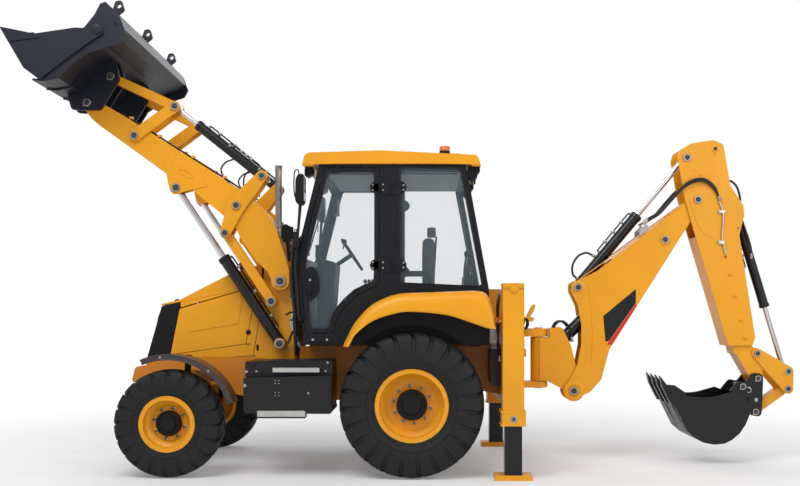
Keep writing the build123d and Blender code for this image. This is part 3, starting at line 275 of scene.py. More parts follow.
YELLOW = painted("paint_yellow", (0.78, 0.325, 0.006), 0.36, coat=0.06)
# a darker, browner copy of the yellow paint, with a little more dust: painted shade for the frame and axle under
# the machine
SHADED_YELLOW = painted("paint_yellow_shaded", (0.62, 0.20, 0.010), 0.42, dust=0.15)
BLACK = painted("paint_black", (0.005, 0.005, 0.006), 0.30, dust=0.02, wear=0.0, chip=(0.06, 0.06, 0.06))
BUCKET = painted("paint_bucket", (0.010, 0.013, 0.021), 0.46, dust=0.0, wear=0.0, coat=0.0)
DIGGER = painted("paint_digger", (0.006, 0.006, 0.007), 0.34, dust=0.015, wear=0.0, chip=(0.10, 0.09, 0.08))
LIP = painted("paint_lip", (0.060, 0.050, 0.048), 0.42, dust=0.1, wear=0.02, chip=(0.2, 0.17, 0.15))
CHROME = metal("steel_chrome", (0.66, 0.66, 0.68), 0.16, 0.05)
STEEL = metal("steel_bare", (0.42, 0.41, 0.40), 0.34)
IRON = metal("iron_cast", (0.07, 0.07, 0.075), 0.55, 0.2, 0.6)
RUBBER = rubber("rubber_tyre", (0.007, 0.007, 0.0075), 0.66, (0.020, 0.020, 0.020))
PLASTIC = plastic("plastic_black", (0.007, 0.007, 0.008), 0.46)
SATIN = plastic("plastic_satin", (0.009, 0.010, 0.013), 0.36, 500.0, 0.0001)
GLASS = glazed("glass_window", (0.34, 0.46, 0.52), 0.09)
CLOTH = cloth("cloth_seat", (0.045, 0.046, 0.05))
HOSE = rubber("rubber_hose", (0.013, 0.013, 0.014), 0.48, (0.03, 0.03, 0.03))
GUARD = painted("guard_dark", (0.052, 0.038, 0.040), 0.34, dust=0.1, wear=0.0)
RED = painted("stripe_red", (0.60, 0.020, 0.022), 0.32, wear=0.0)
# a darker orange for the lines in the panel seams: painted shade in the gaps
SEAM_SHADE = plastic("seam_shadow", (0.10, 0.045, 0.008), 0.7)
TREAD = metal("tread_plated", (0.62, 0.61, 0.58), 0.32, 0.2)
MIRROR = metal("mirror_silver", (0.85, 0.87, 0.9), 0.03, 0.02)
SEAL = rubber("rubber_seal", (0.010, 0.010, 0.011), 0.55, (0.02, 0.02, 0.02))
AMBER_LENS = lens("lens_amber", (0.85, 0.20, 0.015))
RED_LENS = lens("lens_red", (0.55, 0.015, 0.012))
CLEAR_LENS = lens("lens_clear", (0.80, 0.82, 0.84))

BY_SLOT = {
    "yellow_paint": YELLOW, "black_paint": BLACK, "bucket_paint": BUCKET, "engine_iron": IRON,
    "black_mesh": PLASTIC, "steel": STEEL, "chrome": CHROME, "glass": GLASS,
    "black_plastic": PLASTIC, "seat_cloth": CLOTH, "tyre": RUBBER,
}
# the slot that goes with each material of the scene's own pieces, unless a piece asks for another; place() looks
# it up but does not give it to the piece
SLOT_OF = {material.name: slot for slot, group in {
    "yellow_paint": (YELLOW, RED), "black_paint": (BLACK,), "bucket_paint": (BUCKET, DIGGER, LIP),
    "engine_iron": (IRON,), "steel": (STEEL, TREAD), "seat_cloth": (CLOTH,), "tyre": (RUBBER,),
    "black_plastic": (PLASTIC, SATIN, SEAL, HOSE, GUARD, SEAM_SHADE),
    "glass": (MIRROR, AMBER_LENS, RED_LENS, CLEAR_LENS),
}.items() for material in group}
BY_NODE = {
    "cab_frame": SATIN, "left_door": SATIN, "right_door": SATIN, "left_knuckle": PLASTIC,
    "right_knuckle": PLASTIC, "dig_bucket": DIGGER, "quick_hitch": DIGGER, "cab_console": PLASTIC,
    # the chassis frame and rear axle take the darker copy of the yellow: painted shade under the machine
    "chassis_frame": SHADED_YELLOW, "rear_axle": SHADED_YELLOW,
}


def finish_nodes():
    """Every CAD node gets the detailed material of its slot."""
    for part in frame["record"]["subparts"]:
        node = NODES[part["node"]]
        material = BY_NODE.get(part["node"], BY_SLOT[part["material_slot"]])
        if not node.material_slots:
            node.data.materials.append(material)
        for held in node.material_slots:
            held.material = material


finish_nodes()


def local_box(name, low, high):
    """The corners of a world box in the coordinates of one node."""
    back = NODES[name].matrix_world.inverted()
    ends = (back @ Vector(low), back @ Vector(high))
    return [tuple(pick(end[axis] for end in ends) for axis in range(3)) for pick in (min, max)]


def two_tone(name, colour, rough, other, low, high, **finish):
    """Paint on one node, in a second colour inside a world box."""
    material = painted(f"{name}_paint", colour, rough, patch=(other, *local_box(name, low, high)), **finish)
    for held in NODES[name].material_slots:
        held.material = material


two_tone("rear_frame", (0.78, 0.325, 0.006), 0.36, (0.007, 0.007, 0.008), (AXLE_X - 0.838, 0.41, 0.80),
    (AXLE_X - 0.60, 0.82, 1.17), coat=0.06)
for word in ("left", "right"):
    two_tone(f"{word}_stabilizer", (0.005, 0.005, 0.006), 0.30, (0.78, 0.325, 0.006),
        (AXLE_X - 2.0, -2.0, -1.0), (AXLE_X + 0.0, 2.0, 0.047), dust=0.02, wear=0.0)


# ---- mesh building ------------------------------------------------------------------------------
def spot(x, y, z):
    """A point given in millimetres, with x forward of the rear axle."""
    return Vector((AXLE_X + x / 1000, y / 1000, z / 1000))


def smooth_line(points, steps=8, closed=False):
    """Points along a Catmull-Rom curve through the given ones."""
    points = [Vector(p) for p in points]
    count = len(points)
    line = []
    for i in range(count if closed else count - 1):
        if closed:
            a, b, c, d = (points[(i + k) % count] for k in (-1, 0, 1, 2))
        else:
            a, b, c, d = (points[min(max(i + k, 0), count - 1)] for k in (-1, 0, 1, 2))
        for j in range(steps):
            t = j / steps
            line.append(0.5 * (2 * b + (c - a) * t + (2 * a - 5 * b + 4 * c - d) * t * t
                + (3 * b - a - 3 * c + d) * t ** 3))
    if not closed:
        line.append(points[-1])
    return line


class Form:
    """Closed shapes in millimetres that end up in one mesh."""

    def __init__(self, side=1, bm=None):
        self.side = side
        self.bm = bm or bmesh.new()

    def mirrored(self, point):
        """A point given for the left side, taken to the form's own side."""
        return Vector((point[0], point[1] * self.side, point[2]))

    def prism(self, corners, *ends):
        """A plate with an (x, z) outline between two y."""
        low, high = ([self.bm.verts.new(spot(x, y, z)) for x,
            z in corners] for y in sorted(self.side * end for end in ends))
        self.bm.faces.new(low)
        self.bm.faces.new(list(reversed(high)))
        count = len(corners)
        for i in range(count):
            j = (i + 1) % count
            self.bm.faces.new((low[j], low[i], high[i], high[j]))
        return self

    def box(self, x, y, z):
        """A block over (low, high) pairs."""
        return self.prism([(x[0], z[0]), (x[1], z[0]), (x[1], z[1]), (x[0], z[1])], *y)

    def turn(self, profile, centre, axis="Y", steps=24, phase=0.0):
        """A body turned about an axis, from (radius, along) points, closed where the radius is 0."""
        along = self.mirrored([axis == one for one in "XYZ"] if isinstance(axis, str) else axis).normalized()
        side = along.orthogonal().normalized()
        up = along.cross(side)
        centre = self.mirrored(centre)
        rings = []
        for radius, reach in profile:
            if radius == 0:
                rings.append([self.bm.verts.new(spot(*(centre + along * reach)))])
                continue
            ring = []
            for k in range(steps):
                turn = 2 * pi * (k + phase) / steps
                at = centre + along * reach + (side * cos(turn) + up * sin(turn)) * radius
                ring.append(self.bm.verts.new(spot(*at)))
            rings.append(ring)
        for one, two in zip(rings, rings[1:]):
            for k in range(steps):
                m = (k + 1) % steps
                corner = []
                for vert in (one[k % len(one)], one[m % len(one)], two[m % len(two)], two[k % len(two)]):
                    if vert not in corner:
                        corner.append(vert)
                if len(corner) > 2:
                    self.bm.faces.new(corner)
        return self

    def tube(self, points, radius, sides=10, closed=False, steps=8):
        """A round bar or hose along a smooth line."""
        line = smooth_line([self.mirrored(point) for point in points], steps, closed)
        count = len(line)
        normal = None
        rings = []
        for i, at in enumerate(line):
            if closed:
                ahead = line[(i + 1) % count] - line[i - 1]
            else:
                ahead = line[min(i + 1, count - 1)] - line[max(i - 1, 0)]
            ahead.normalize()
            if normal is None:
                normal = ahead.orthogonal().normalized()
            normal = (normal - ahead * normal.dot(ahead)).normalized()
            other = ahead.cross(normal)
            rings.append([self.bm.verts.new(spot(*(at
                + (normal * cos(2 * pi * k / sides) + other * sin(2 * pi * k / sides)) * radius))) for k
                in range(sides)])
        pairs = list(zip(rings, rings[1:])) + ([(rings[-1], rings[0])] if closed else [])
        for one, two in pairs:
            for k in range(sides):
                m = (k + 1) % sides
                self.bm.faces.new((one[k], one[m], two[m], two[k]))
        if not closed:
            self.bm.faces.new(list(reversed(rings[0])))
            self.bm.faces.new(rings[-1])
        return self

    def bolt(self, centre, axis, size=10, sides=6):
        """A hexagon head on its washer."""
        self.turn([(size * 1.35, 0), (size * 1.35, size * 0.22), (size * 1.2, size * 0.3), (0, size * 0.3)],
            centre, axis, 16)
        self.turn([(size, size * 0.25), (size, size * 0.75), (size * 0.82, size * 0.92), (0, size * 0.92)],
            centre, axis, sides)
        return self

    def place(self, name, material, body="chassis", slot=None, bevel=0.0, turn=38.0, soft=False):
        """The finished piece, with crisp edges kept and narrow bevels, riding on its body.

        With no body it is left unattached.
        """
        bmesh.ops.recalc_face_normals(self.bm, faces=self.bm.faces)
        for face in self.bm.faces:
            face.smooth = True
        for edge in self.bm.edges:
            if not soft and len(edge.link_faces) == 2 and edge.calc_face_angle(0.0) > radians(turn):
                edge.smooth = False
        mesh = bpy.data.meshes.new(name)
        self.bm.to_mesh(mesh)
        self.bm.free()
        mesh.materials.append(material)
        piece = bpy.data.objects.new(name, mesh)
        scene.collection.objects.link(piece)
        if bevel:
            edge = piece.modifiers.new("bevel", "BEVEL")
            edge.width = bevel / 1000
            edge.segments = 2
            edge.limit_method = "ANGLE"
            edge.angle_limit = radians(turn)
            edge.harden_normals = True
        if body:
            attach(piece, body)
            slot or SLOT_OF[material.name]
        return piece


def oval(x, z, wide, high, count):
    """The (x, z) corners of an ellipse."""
    turns = [2 * pi * k / count for k in range(count)]
    return [(x + wide * cos(turn), z + high * sin(turn)) for turn in turns]


OUT, IN = (0, 1, 0), (0, -1, 0)  # out of the machine and into it, on a form's own side


def sides_of(*forms):
    """Each side in turn, with the forms drawing on it."""
    for word, side in SIDES:
        for form in forms:
            form.side = side
        yield word, side


# planes and places that several pieces share, in millimetres
FRONT_WHEEL = (2200, 488)
PANEL_FACE = 345
BOX_FACE = 1090
LEG_X = -904
BOOM_FACE = 116
DIPPER_FACE = 138
EXHAUST = (1401, -250, 0)
BEACON = (-303, 560)
BUCKET_SLOPE = radians(59.7)


# ---- tyres and wheel ends -------------------------------------------------------------------------
# outer surface as (share of the half width, share of the wall's height)
TYRE_OUTSIDE = [(0.80, -0.02), (0.80, 0.05), (0.86, 0.08), (0.89, 0.15), (0.93, 0.22), (0.955, 0.27),
    (0.965, 0.30), (0.985, 0.40), (0.995, 0.52), (0.990, 0.62), (0.975, 0.74), (0.945, 0.84), (0.885, 0.915),
    (0.80, 0.955), (0.62, 0.980), (0.40, 0.992), (0.20, 0.997), (0.07, 0.999)]
# how far the carcass lies under it, as a share of the lug's height
LUG_DEPTH = [0, 0, 0, 0, 0, 0, 0.05, 0.18, 0.30, 0.42, 0.60, 0.80, 0.95, 1, 1, 1, 1, 1]


def tyre(name, node, body, centre, radius, half, rim, lugs, depth):
    """A lugged tyre: broad blocks that wrap the shoulder, one side half a pitch behind the other."""
    wall = radius - rim
    rows = []
    for side in (1, -1):
        part = [(side * share * half, rim + up * wall, side, cut) for (share, up),
            cut in zip(TYRE_OUTSIDE, LUG_DEPTH)]
        rows += part if side == 1 else list(reversed(part))
    pitch = 2 * pi / lugs
    edge, land = 0.022, 0.76  # shares of the pitch: half a lug's ramp, and where the lug ends
    marks = []
    for phase in (0.0, 0.26, 0.5, land):
        marks += [phase - edge, phase + edge]
    marks += [0.13, 0.38, 0.63, 0.88]
    marks.sort()
    bm = bmesh.new()
    grid = []
    for lug in range(lugs):
        for mark in marks:
            column = []
            for y, r, side, cut in rows:
                phase = (mark - (0.5 if side < 0 else 0.0)) % 1.0
                raised = edge <= phase <= land - edge + 0.001
                if abs(y) < half * 0.10:
                    raised = phase <= land or raised
                reach = abs(y) / half
                skew = 0.55 * pitch * (1 - min(1, reach / 0.95)) ** 0.9
                lower = 0.0 if raised else cut * depth
                flat = 1 - 0.12 * max(0, reach - 0.8) / 0.2
                out_y = y - (copysign(lower * 0.85, y) if reach > 0.9 else 0)
                out_r = r - (lower if reach <= 0.9 else lower * 0.25) * flat
                turn = (lug + mark) * pitch + skew
                column.append(bm.verts.new(spot(centre[0] + out_r * sin(turn), centre[1] + out_y,
                    centre[2] + out_r * cos(turn))))
            grid.append(column)
    for i, column in enumerate(grid):
        other = grid[(i + 1) % len(grid)]
        for j in range(len(column) - 1):
            bm.faces.new((column[j], column[j + 1], other[j + 1], other[j]))
    form = Form(bm=bm)
    # fine rings on the lower wall
    for side in (1, -1):
        for share, up in ((0.885, 0.135), (0.968, 0.292)):
            ring = [(centre[0] + (rim + up * wall) * sin(2 * pi * k / 72), centre[1] + side * share * half,
                centre[2] + (rim + up * wall) * cos(2 * pi * k / 72)) for k in range(72)]
            form.tube(ring, 3.2, 6, closed=True, steps=1)
    piece = form.place(name, RUBBER, body, turn=30.0)
    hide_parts(node)
    return piece


WHEELS = (("front", 2200, 915, 488, 310, 229, 20, 22, 30, 116, 8),
    ("rear", 0, 905, 657, 490, 305, 23, 30, 50, 140, 10))
for place, x, y, radius, width, rim, lugs, depth, dish, ring, nuts in WHEELS:
    for word, side in SIDES:
        body = f"{place}_{word}_wheel"
        tyre(f"{place}_{word}_tread", f"{place}_{word}_tyre", body, (x, side * y, radius), radius - 0.5,
            width / 2, rim, lugs, depth)
        cap_out = 97 if place == "front" else 143
        cap = ring
        form = Form(side)
        form.turn([(cap, dish + 8), (cap, cap_out - 22), (cap * 0.93, cap_out - 6), (cap * 0.84, cap_out - 6),
            (cap * 0.80, cap_out - 14), (cap * 0.62, cap_out - 14), (cap * 0.58, cap_out), (0, cap_out)],
            (x, y, radius), OUT, 48)
        for k in range(12):
            turn = 2 * pi * k / 12
            form.turn([(6, dish + 12), (6, cap_out - 8), (4, cap_out - 6), (0, cap_out - 6)],
                (x + cap * 0.72 * cos(turn), y, radius + cap * 0.72 * sin(turn)), OUT, 8)
        form.place(f"{body}_cap", PLASTIC, body, bevel=1.5)
        form = Form(side)
        studs = Form(side)
        bolt_ring = ring * 1.22
        for k in range(nuts):
            turn = 2 * pi * (k + 0.3) / nuts
            at = (x + bolt_ring * cos(turn), y + (dish - 1), radius + bolt_ring * sin(turn))
            form.turn([(17, 0), (17, 4), (13, 6), (13, 16), (10, 19), (0, 19)], at, OUT, 12)
            studs.turn([(7, 15), (7, 30), (5, 32), (0, 32)], at, OUT, 10)
        form.place(f"{body}_nuts", STEEL, body)
        studs.place(f"{body}_studs", IRON, body)
        form = Form(side)
        flange = rim + 20
        form.tube([(at, y + width * 0.4 + 12, up) for at, up in oval(x, radius, flange, flange, 64)], 6, 8,
            closed=True, steps=1)
        form.turn([(8, 0), (8, 8), (4, 12), (4, 38), (5, 40), (0, 40)],
            (x + (rim - 40) * 0.6, y + (dish + 4), radius + (rim - 40) * 0.75), OUT, 10)
        form.place(f"{body}_flange", YELLOW, body)


# ---- pins with their washers ------------------------------------------------------------------
def pin_ends(name, body, centre, y, radius):
    """A bright washer round a dark pin end with its grease point, on both sides."""
    bright, dark = Form(), Form()
    at = (centre[0], y, centre[1])
    for _ in sides_of(bright, dark):
        bright.turn([(radius * 1.28, -2), (radius * 1.28, 5), (radius * 1.2, 8), (radius * 0.86, 8),
            (radius * 0.82, 3)], at, OUT, 32)
        dark.turn([(radius * 0.83, -2), (radius * 0.83, 8), (radius * 0.72, 12), (radius * 0.24, 12),
            (radius * 0.24, 10), (0, 10)], at, OUT, 28)
        bright.turn([(4, 9), (4, 17), (2.5, 20), (0, 20)], at, OUT, 8)
        bright.bolt((centre[0] + radius * 1.05, y + 4, centre[1] - radius * 0.95), OUT, 6)
    bright.place(f"{name}_washer", STEEL, body, bevel=0.8)
    dark.place(f"{name}_end", IRON, body, bevel=0.8)


ARM_PIVOT, LIFT_BASE, LIFT_TOP = (1263, 1789), (1269, 1196), (2255, 2680)
LEVEL_BASE, LEVEL_TOP, LEVER_PIVOT = (1350, 1597), (1784, 2247), (1677, 2509)
TILT_BASE, TILT_TOP, TIP_PIVOT = (1435, 2791), (2261, 3450), (2645, 3173)
BUCKET_PIVOT, BUCKET_LINK, CLAM_PIVOT = (3093, 3486), (2870, 3735), (2807, 4011)
BOOM_FOOT, BOOM_RAM_BASE, BOOM_RAM_TOP = (-1597, 710), (-1494, 1214), (-2505, 2216)
DIPPER_RAM_BASE, DIPPER_RAM_TOP, DIPPER_PIVOT = (-1641, 1742), (-2719, 3031), (-2827, 2612)
CROWD_RAM_BASE, CROWD_LEVER_PIVOT, CROWD_RAM_TOP = (-3249, 2502), (-3419, 1084), (-3730, 904)
CROWD_LINK_TOP, CROWD_LINK_FOOT, DIG_PIVOT = (-3728, 732), (-3405, 502), (-3424, 835)

for name, body, centre, y, radius in (("arm_pivot", "chassis", ARM_PIVOT, 533, 40),
        ("level_base", "chassis", LEVEL_BASE, 533, 34), ("lift_base", "chassis", LIFT_BASE, 533, 36),
        ("lift_top", "loader_arms", LIFT_TOP, 528, 34), ("lever_pivot", "tilt_levers", LEVER_PIVOT, 555, 30),
        ("tilt_base", "tilt_levers", TILT_BASE, 555, 27), ("level_top", "tilt_levers", LEVEL_TOP, 555, 28),
        ("tip_pivot", "tip_levers", TIP_PIVOT, 555, 31), ("tilt_top", "tip_levers", TILT_TOP, 555, 31),
        ("bucket_pivot", "loader_bucket", BUCKET_PIVOT, 555, 31),
        ("bucket_link", "loader_bucket", BUCKET_LINK, 555, 30),
        ("boom_ram_top", "boom", BOOM_RAM_TOP, 124, 30),
        ("dipper_ram_base", "boom", DIPPER_RAM_BASE, 124, 30),
        ("boom_foot", "swing_post", BOOM_FOOT, 124, 32), ("dipper_pivot", "boom", DIPPER_PIVOT, 146, 30),
        ("dipper_ram_top", "dipper", DIPPER_RAM_TOP, 146, 30),
        ("crowd_pivot", "inner_dipper", CROWD_LEVER_PIVOT, 140, 25),
        ("dig_pivot", "inner_dipper", DIG_PIVOT, 140, 25),
        ("crowd_top", "crowd_lever", CROWD_RAM_TOP, 131, 26),
        ("crowd_link_top", "crowd_lever", CROWD_LINK_TOP, 131, 26),
        ("crowd_foot", "digging_bucket", CROWD_LINK_FOOT, 131, 26),
        ("hitch_rear", "digging_bucket", (-3267, 756), 160, 26)):
    pin_ends(name, body, centre, y, radius)


# ---- pipes, hoses and fittings ------------------------------------------------------------------
def fitting(form, at, direction, radius):
    """A crimped collar and hexagon nut on the end of a hose."""
    form.turn([(0, -6), (radius * 1.15, -6), (radius * 1.35, 0), (radius * 1.35, 26), (radius * 1.1, 30),
        (0, 30)], at, direction, 14)
    form.turn([(0, 28), (radius * 1.6, 28), (radius * 1.6, 44), (0, 44)], at, direction, 6)


def hose(name, body, points, radius=11, ends=(True, True), blend=None, side=1):
    """A hydraulic hose along (x, y, z) points with a plated fitting at each end.

    blend is (first body, second body, start, end): the hose then rides no body and does not bend between them;
    only its two fittings ride the two bodies.
    """
    piece = Form(side).tube(points, radius).place(f"{name}_hose", HOSE, None if blend else body, soft=True)
    if blend:
        start, end = (tuple(spot(*form.mirrored(point))) for point in blend[2:])
        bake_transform(piece)
        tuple(start)
        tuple(end)
    line = [Vector(point) for point in points]
    bodies = blend[:2] if blend else (body, body)
    for k, (at, ahead) in enumerate(((line[0], line[1] - line[0]), (line[-1], line[-2] - line[-1]))):
        if ends[k]:
            metal_end = Form(side)
            fitting(metal_end, at, -ahead.normalized(), radius)
            metal_end.place(f"{name}_fitting_{k}", STEEL, bodies[k], bevel=0.6)


def ram_axis(base, top):
    """The unit (x, z) direction of a ram."""
    run = hypot(top[0] - base[0], top[1] - base[1])
    return (top[0] - base[0]) / run, (top[1] - base[1]) / run


def on_ram(base, top, along, out, y):
    """A place beside a ram: so far along it and so far above its axis."""
    ux, uz = ram_axis(base, top)
    
    nx, nz = (-uz, ux) if ux > 0 else (uz, -ux)
    return (base[0] + ux * along + nx * out, y, base[1] + uz * along + nz * out)


def ram_pipe(name, body, base, top, y, start, end, offset, above=1, radius=8):
    """A hard pipe clamped along a ram's barrel, turned into it at both ends."""
    ux, uz = ram_axis(base, top)
    
    nx, nz = -uz * above, ux * above
    if nz < 0 and above > 0:
        nx, nz = -nx, -nz

    def on(along, out):
        return (base[0] + ux * along + nx * out, y, base[1] + uz * along + nz * out)

    Form().tube([on(start, offset - 34), on(start, offset - 8), on(start + 22, offset),
        on(start + 60, offset), on((start + end) / 2, offset), on(end - 60, offset), on(end - 22, offset),
        on(end, offset - 8), on(end, offset - 34)], radius, 10).place(f"{name}_pipe", BLACK, body, soft=True)
    form = Form()
    for along in (start + 120, (start + end) / 2, end - 120):
        at = Vector(on(along, offset))
        form.turn([(0, -14), (radius + 7, -14), (radius + 9, -10), (radius + 9, 10), (radius + 7, 14),
            (0, 14)], at, (ux, 0, uz), 12)
        form.turn([(6, -offset * 0.5), (6, 12), (0, 12)], at, (nx, 0, nz), 8)
    for along in (start, end):
        at = Vector(on(along, offset - 34))
        form.turn([(0, -4), (20, -4), (20, 12), (14, 14), (14, 22), (0, 22)], at, (nx, 0, nz), 16)
    form.place(f"{name}_clamps", STEEL, body, bevel=0.6)


def collar(name, body, base, top, y, along, radius, width=34):
    """The gland nut at the mouth of a ram's barrel."""
    ux, uz = ram_axis(base, top)
    
    at = (base[0] + ux * (along - width), y, base[1] + uz * (along - width))
    form = Form()
    form.turn([(radius + 0.5, 0), (radius + 5, 4), (radius + 5, width - 4), (radius + 1, width + 1),
        (radius * 0.70, width + 1)], at, (ux, 0, uz), 32)
    form.turn([(radius + 5.5, 9), (radius + 5.5, 13), (radius + 3, 13)], at, (ux, 0, uz), 32)
    form.place(f"{name}_gland", BLACK, body, bevel=0.8)


for word, side in SIDES:
    y = side * 460
    ram_pipe(f"lift_{word}", "lift_barrels", LIFT_BASE, LIFT_TOP, y, 150, 955, 74)
    collar(f"lift_{word}", "lift_barrels", LIFT_BASE, LIFT_TOP, y, 990, 55, 46)
    ram_pipe(f"tilt_{word}", "tilt_barrels", TILT_BASE, TILT_TOP, y, 90, 700, 66)
    ram_pipe(f"tilt_return_{word}", "tilt_barrels", TILT_BASE, TILT_TOP, y + side * 22, 70, 430, 62, radius=6)
    collar(f"tilt_{word}", "tilt_barrels", TILT_BASE, TILT_TOP, y, 800, 48, 40)
collar("dipper", "dipper_barrel", DIPPER_RAM_BASE, DIPPER_RAM_TOP, 0, 950, 56, 46)
collar("crowd", "crowd_barrel", CROWD_RAM_BASE, CROWD_RAM_TOP, 0, 1000, 46, 40)
collar("boom", "boom_barrel", BOOM_RAM_BASE, BOOM_RAM_TOP, 0, 1150, 62, 46)
ram_pipe("dipper", "dipper_barrel", DIPPER_RAM_BASE, DIPPER_RAM_TOP, 0, 420, 915, 78)
hose("dipper_base", "dipper_barrel",
    [on_ram(DIPPER_RAM_BASE, DIPPER_RAM_TOP, *at) for at in ((70, 62, 18), (80, 120, 18), (150, 176, 14),
    (250, 190, 8), (330, 150, 4), (352, 84, 0))])
ram_pipe("crowd", "crowd_barrel", CROWD_RAM_BASE, CROWD_RAM_TOP, 0, 180, 560, -66, above=1, radius=7)

# ---- loader linkage --------------------------------------------------------------------------
DOUBLER = [(2369, 2950), (2290, 2948), (2190, 2922), (2080, 2838), (1962, 2692), (2080, 2668), (2195, 2640),
    (2235, 2622), (2275, 2622), (2308, 2650), (2322, 2700)]
arm_trim, arm_welds = Form(), Form()
for word, side in sides_of(arm_trim, arm_welds):
    out = 520
    arm_trim.prism(DOUBLER, out, out + 6)
    loop = []
    for k in range(20):
        turn = 2 * pi * k / 20
        u, v = 78 * cos(turn), 24 * sin(turn)
        loop.append((2160 + u * 0.876 - v * 0.482, out + 6, 2815 + u * 0.482 + v * 0.876))
    arm_welds.tube(loop, 5, 8, closed=True, steps=2)
    arm_welds.tube([(x, out, z) for x, z in DOUBLER], 4.5, 8, closed=True, steps=1)
    # raised saddle plates on the arm's edges, where the pivots are bored
    for centre, radius in ((LEVER_PIVOT, 98), (TIP_PIVOT, 78), (ARM_PIVOT, 84), (BUCKET_PIVOT, 70)):
        inner = 400
        arm_welds.turn([(radius, -1), (radius, 3), (radius - 4, 6), (radius * 0.5, 6)],
            (centre[0], inner, centre[1]), IN, 40)
    # top pipes along the arm with their clips
    for lane in (-18, 18):
        row = (484 + lane * 0.7)
        line = [(2790, row, 3402), (2600, row, 3284), (2262, row, 3068), (1945, row, 2870), (1700, row, 2712),
            (1560, row, 2606)]
        Form(side).tube(line, 8, 8).place(f"arm_pipe_{word}_{lane + 18}", BLACK, "loader_arms", soft=True)
    clips = Form(side)
    for x, z in ((2690, 3340), (2420, 3169), (2100, 2967), (1800, 2776)):
        clips.box((x - 16, x + 16), (462, 508), (z - 2, z + 22))
    clips.place(f"arm_clips_{word}", YELLOW, "loader_arms", bevel=2)
arm_trim.place("arm_doublers", YELLOW, "loader_arms", bevel=1.5)
arm_welds.place("arm_welds", YELLOW, "loader_arms", soft=True)

for word, side in SIDES:
    loops = ([(1716, 424, 2968), (1800, 419, 2940), (1850, 418, 2868), (1812, 418, 2782), (1735, 418, 2706),
        (1672, 420, 2662)], [(1556, 420, 2852), (1598, 418, 2840), (1624, 418, 2802), (1632, 418, 2756),
        (1630, 420, 2708)])
    for lane, loop in enumerate(loops):
        hose(f"tilt_loop_{word}_{lane}", None, loop, 8, ends=(True, False), side=side,
            blend=("tilt_barrels", "tilt_levers", (1717, 460, 2990), (1657, 460, 2700)))

# ---- hood, side panels and grille ---------------------------------------------------------------
seams, panel, latch = (Form() for _ in range(3))
for _ in sides_of(seams, panel, latch):
    y = PANEL_FACE
    # the seams are thin tubes in a darker orange: painted shade in the panel gaps
    seams.tube([(2352, y, 1082), (1640, y, 1184), (1622, y, 1200), (1556, y, 1560), (1558, y, 1722)], 3, 6,
        steps=6)
    seams.tube([(2300, y, 1052), (2085, y, 1040), (1575, y, 1072), (1552, y, 1092), (1502, y, 1401),
        (1470, y, 1764)], 3, 6, steps=6)
    panel.prism([(2120, 1548), (2104, 1562), (1672, 1662), (1655, 1650), (1697, 1392), (1712, 1380),
        (2158, 1302), (2172, 1314)], y, y + 5)
    latch.turn([(24, 0), (24, 5), (20, 8), (0, 8)], (1600, y, 1300), OUT, 24)
    latch.box((1585, 1615), (y, y + 11), (1294, 1306))
    for z in (1150, 1500):
        latch.box((1500, 1520), (y, y + 9), (z - 28, z + 28))
seams.place("panel_seams", SEAM_SHADE, soft=True)
panel.place("panel_emboss", YELLOW, bevel=4)
latch.place("panel_latches", PLASTIC, bevel=1.5)

mesh_front = Form()
for k in range(12):
    y = -275 + k * 50
    mesh_front.tube([(2444, y, 1530), (2576, y, 1022)], 5, 6, steps=1)
mesh_front.place("grille_bars", PLASTIC, slot="black_mesh", soft=True)
lamps, glass_front = Form(), Form()
for _ in sides_of(lamps, glass_front):
    slope = Vector((547, 0, 155)).normalized()
    at = (2478, 245, 1440)
    lamps.turn([(0, -30), (66, -30), (72, -6), (72, 4), (66, 10), (60, 10), (60, 2)], at, slope, 32)
    glass_front.turn([(61, -4), (61, 4), (48, 12), (22, 17), (0, 18)], at, slope, 32)
lamps.place("headlamp_rims", PLASTIC, bevel=1)
glass_front.place("headlamp_lenses", CLEAR_LENS, soft=True)

hood_trim = Form()
for _ in sides_of(hood_trim):
    hood_trim.tube([(2440, 345.5, 1562), (2258, 345.5, 1596), (1667, 345.5, 1716), (1470, 345.5, 1775)], 3, 6,
        steps=1)
    hood_trim.tube([(2425, 210, 1583), (2266, 215, 1614), (2064, 222, 1720), (1755, 230, 1878),
        (1480, 236, 1958)], 5, 8, steps=4)
hood_trim.place("hood_seams", YELLOW, "hood", soft=True)
Form().tube([(2390, -60, 1586), (2384, -60, 1612), (2376, 0, 1620), (2384, 60, 1612), (2390, 60, 1586)], 7,
    8).place("hood_grip", PLASTIC, "hood", soft=True)

rain = Form()
rain.turn([(36, 2950), (36, 2996), (40, 3000), (40, 3006), (36, 3008)], EXHAUST, "Z", 28)
for z in (2030, 2380):
    rain.turn([(52, z - 6), (55, z - 4), (55, z + 4), (52, z + 6)], EXHAUST, "Z", 32)
shield = Form()
for k in range(14):
    z = 2070 + k * 20
    shield.turn([(52, z - 4), (54.5, z), (52, z + 4)], EXHAUST, "Z", 28)
rain.place("exhaust_bands", STEEL, soft=True)
shield.place("exhaust_shield", STEEL, soft=True)

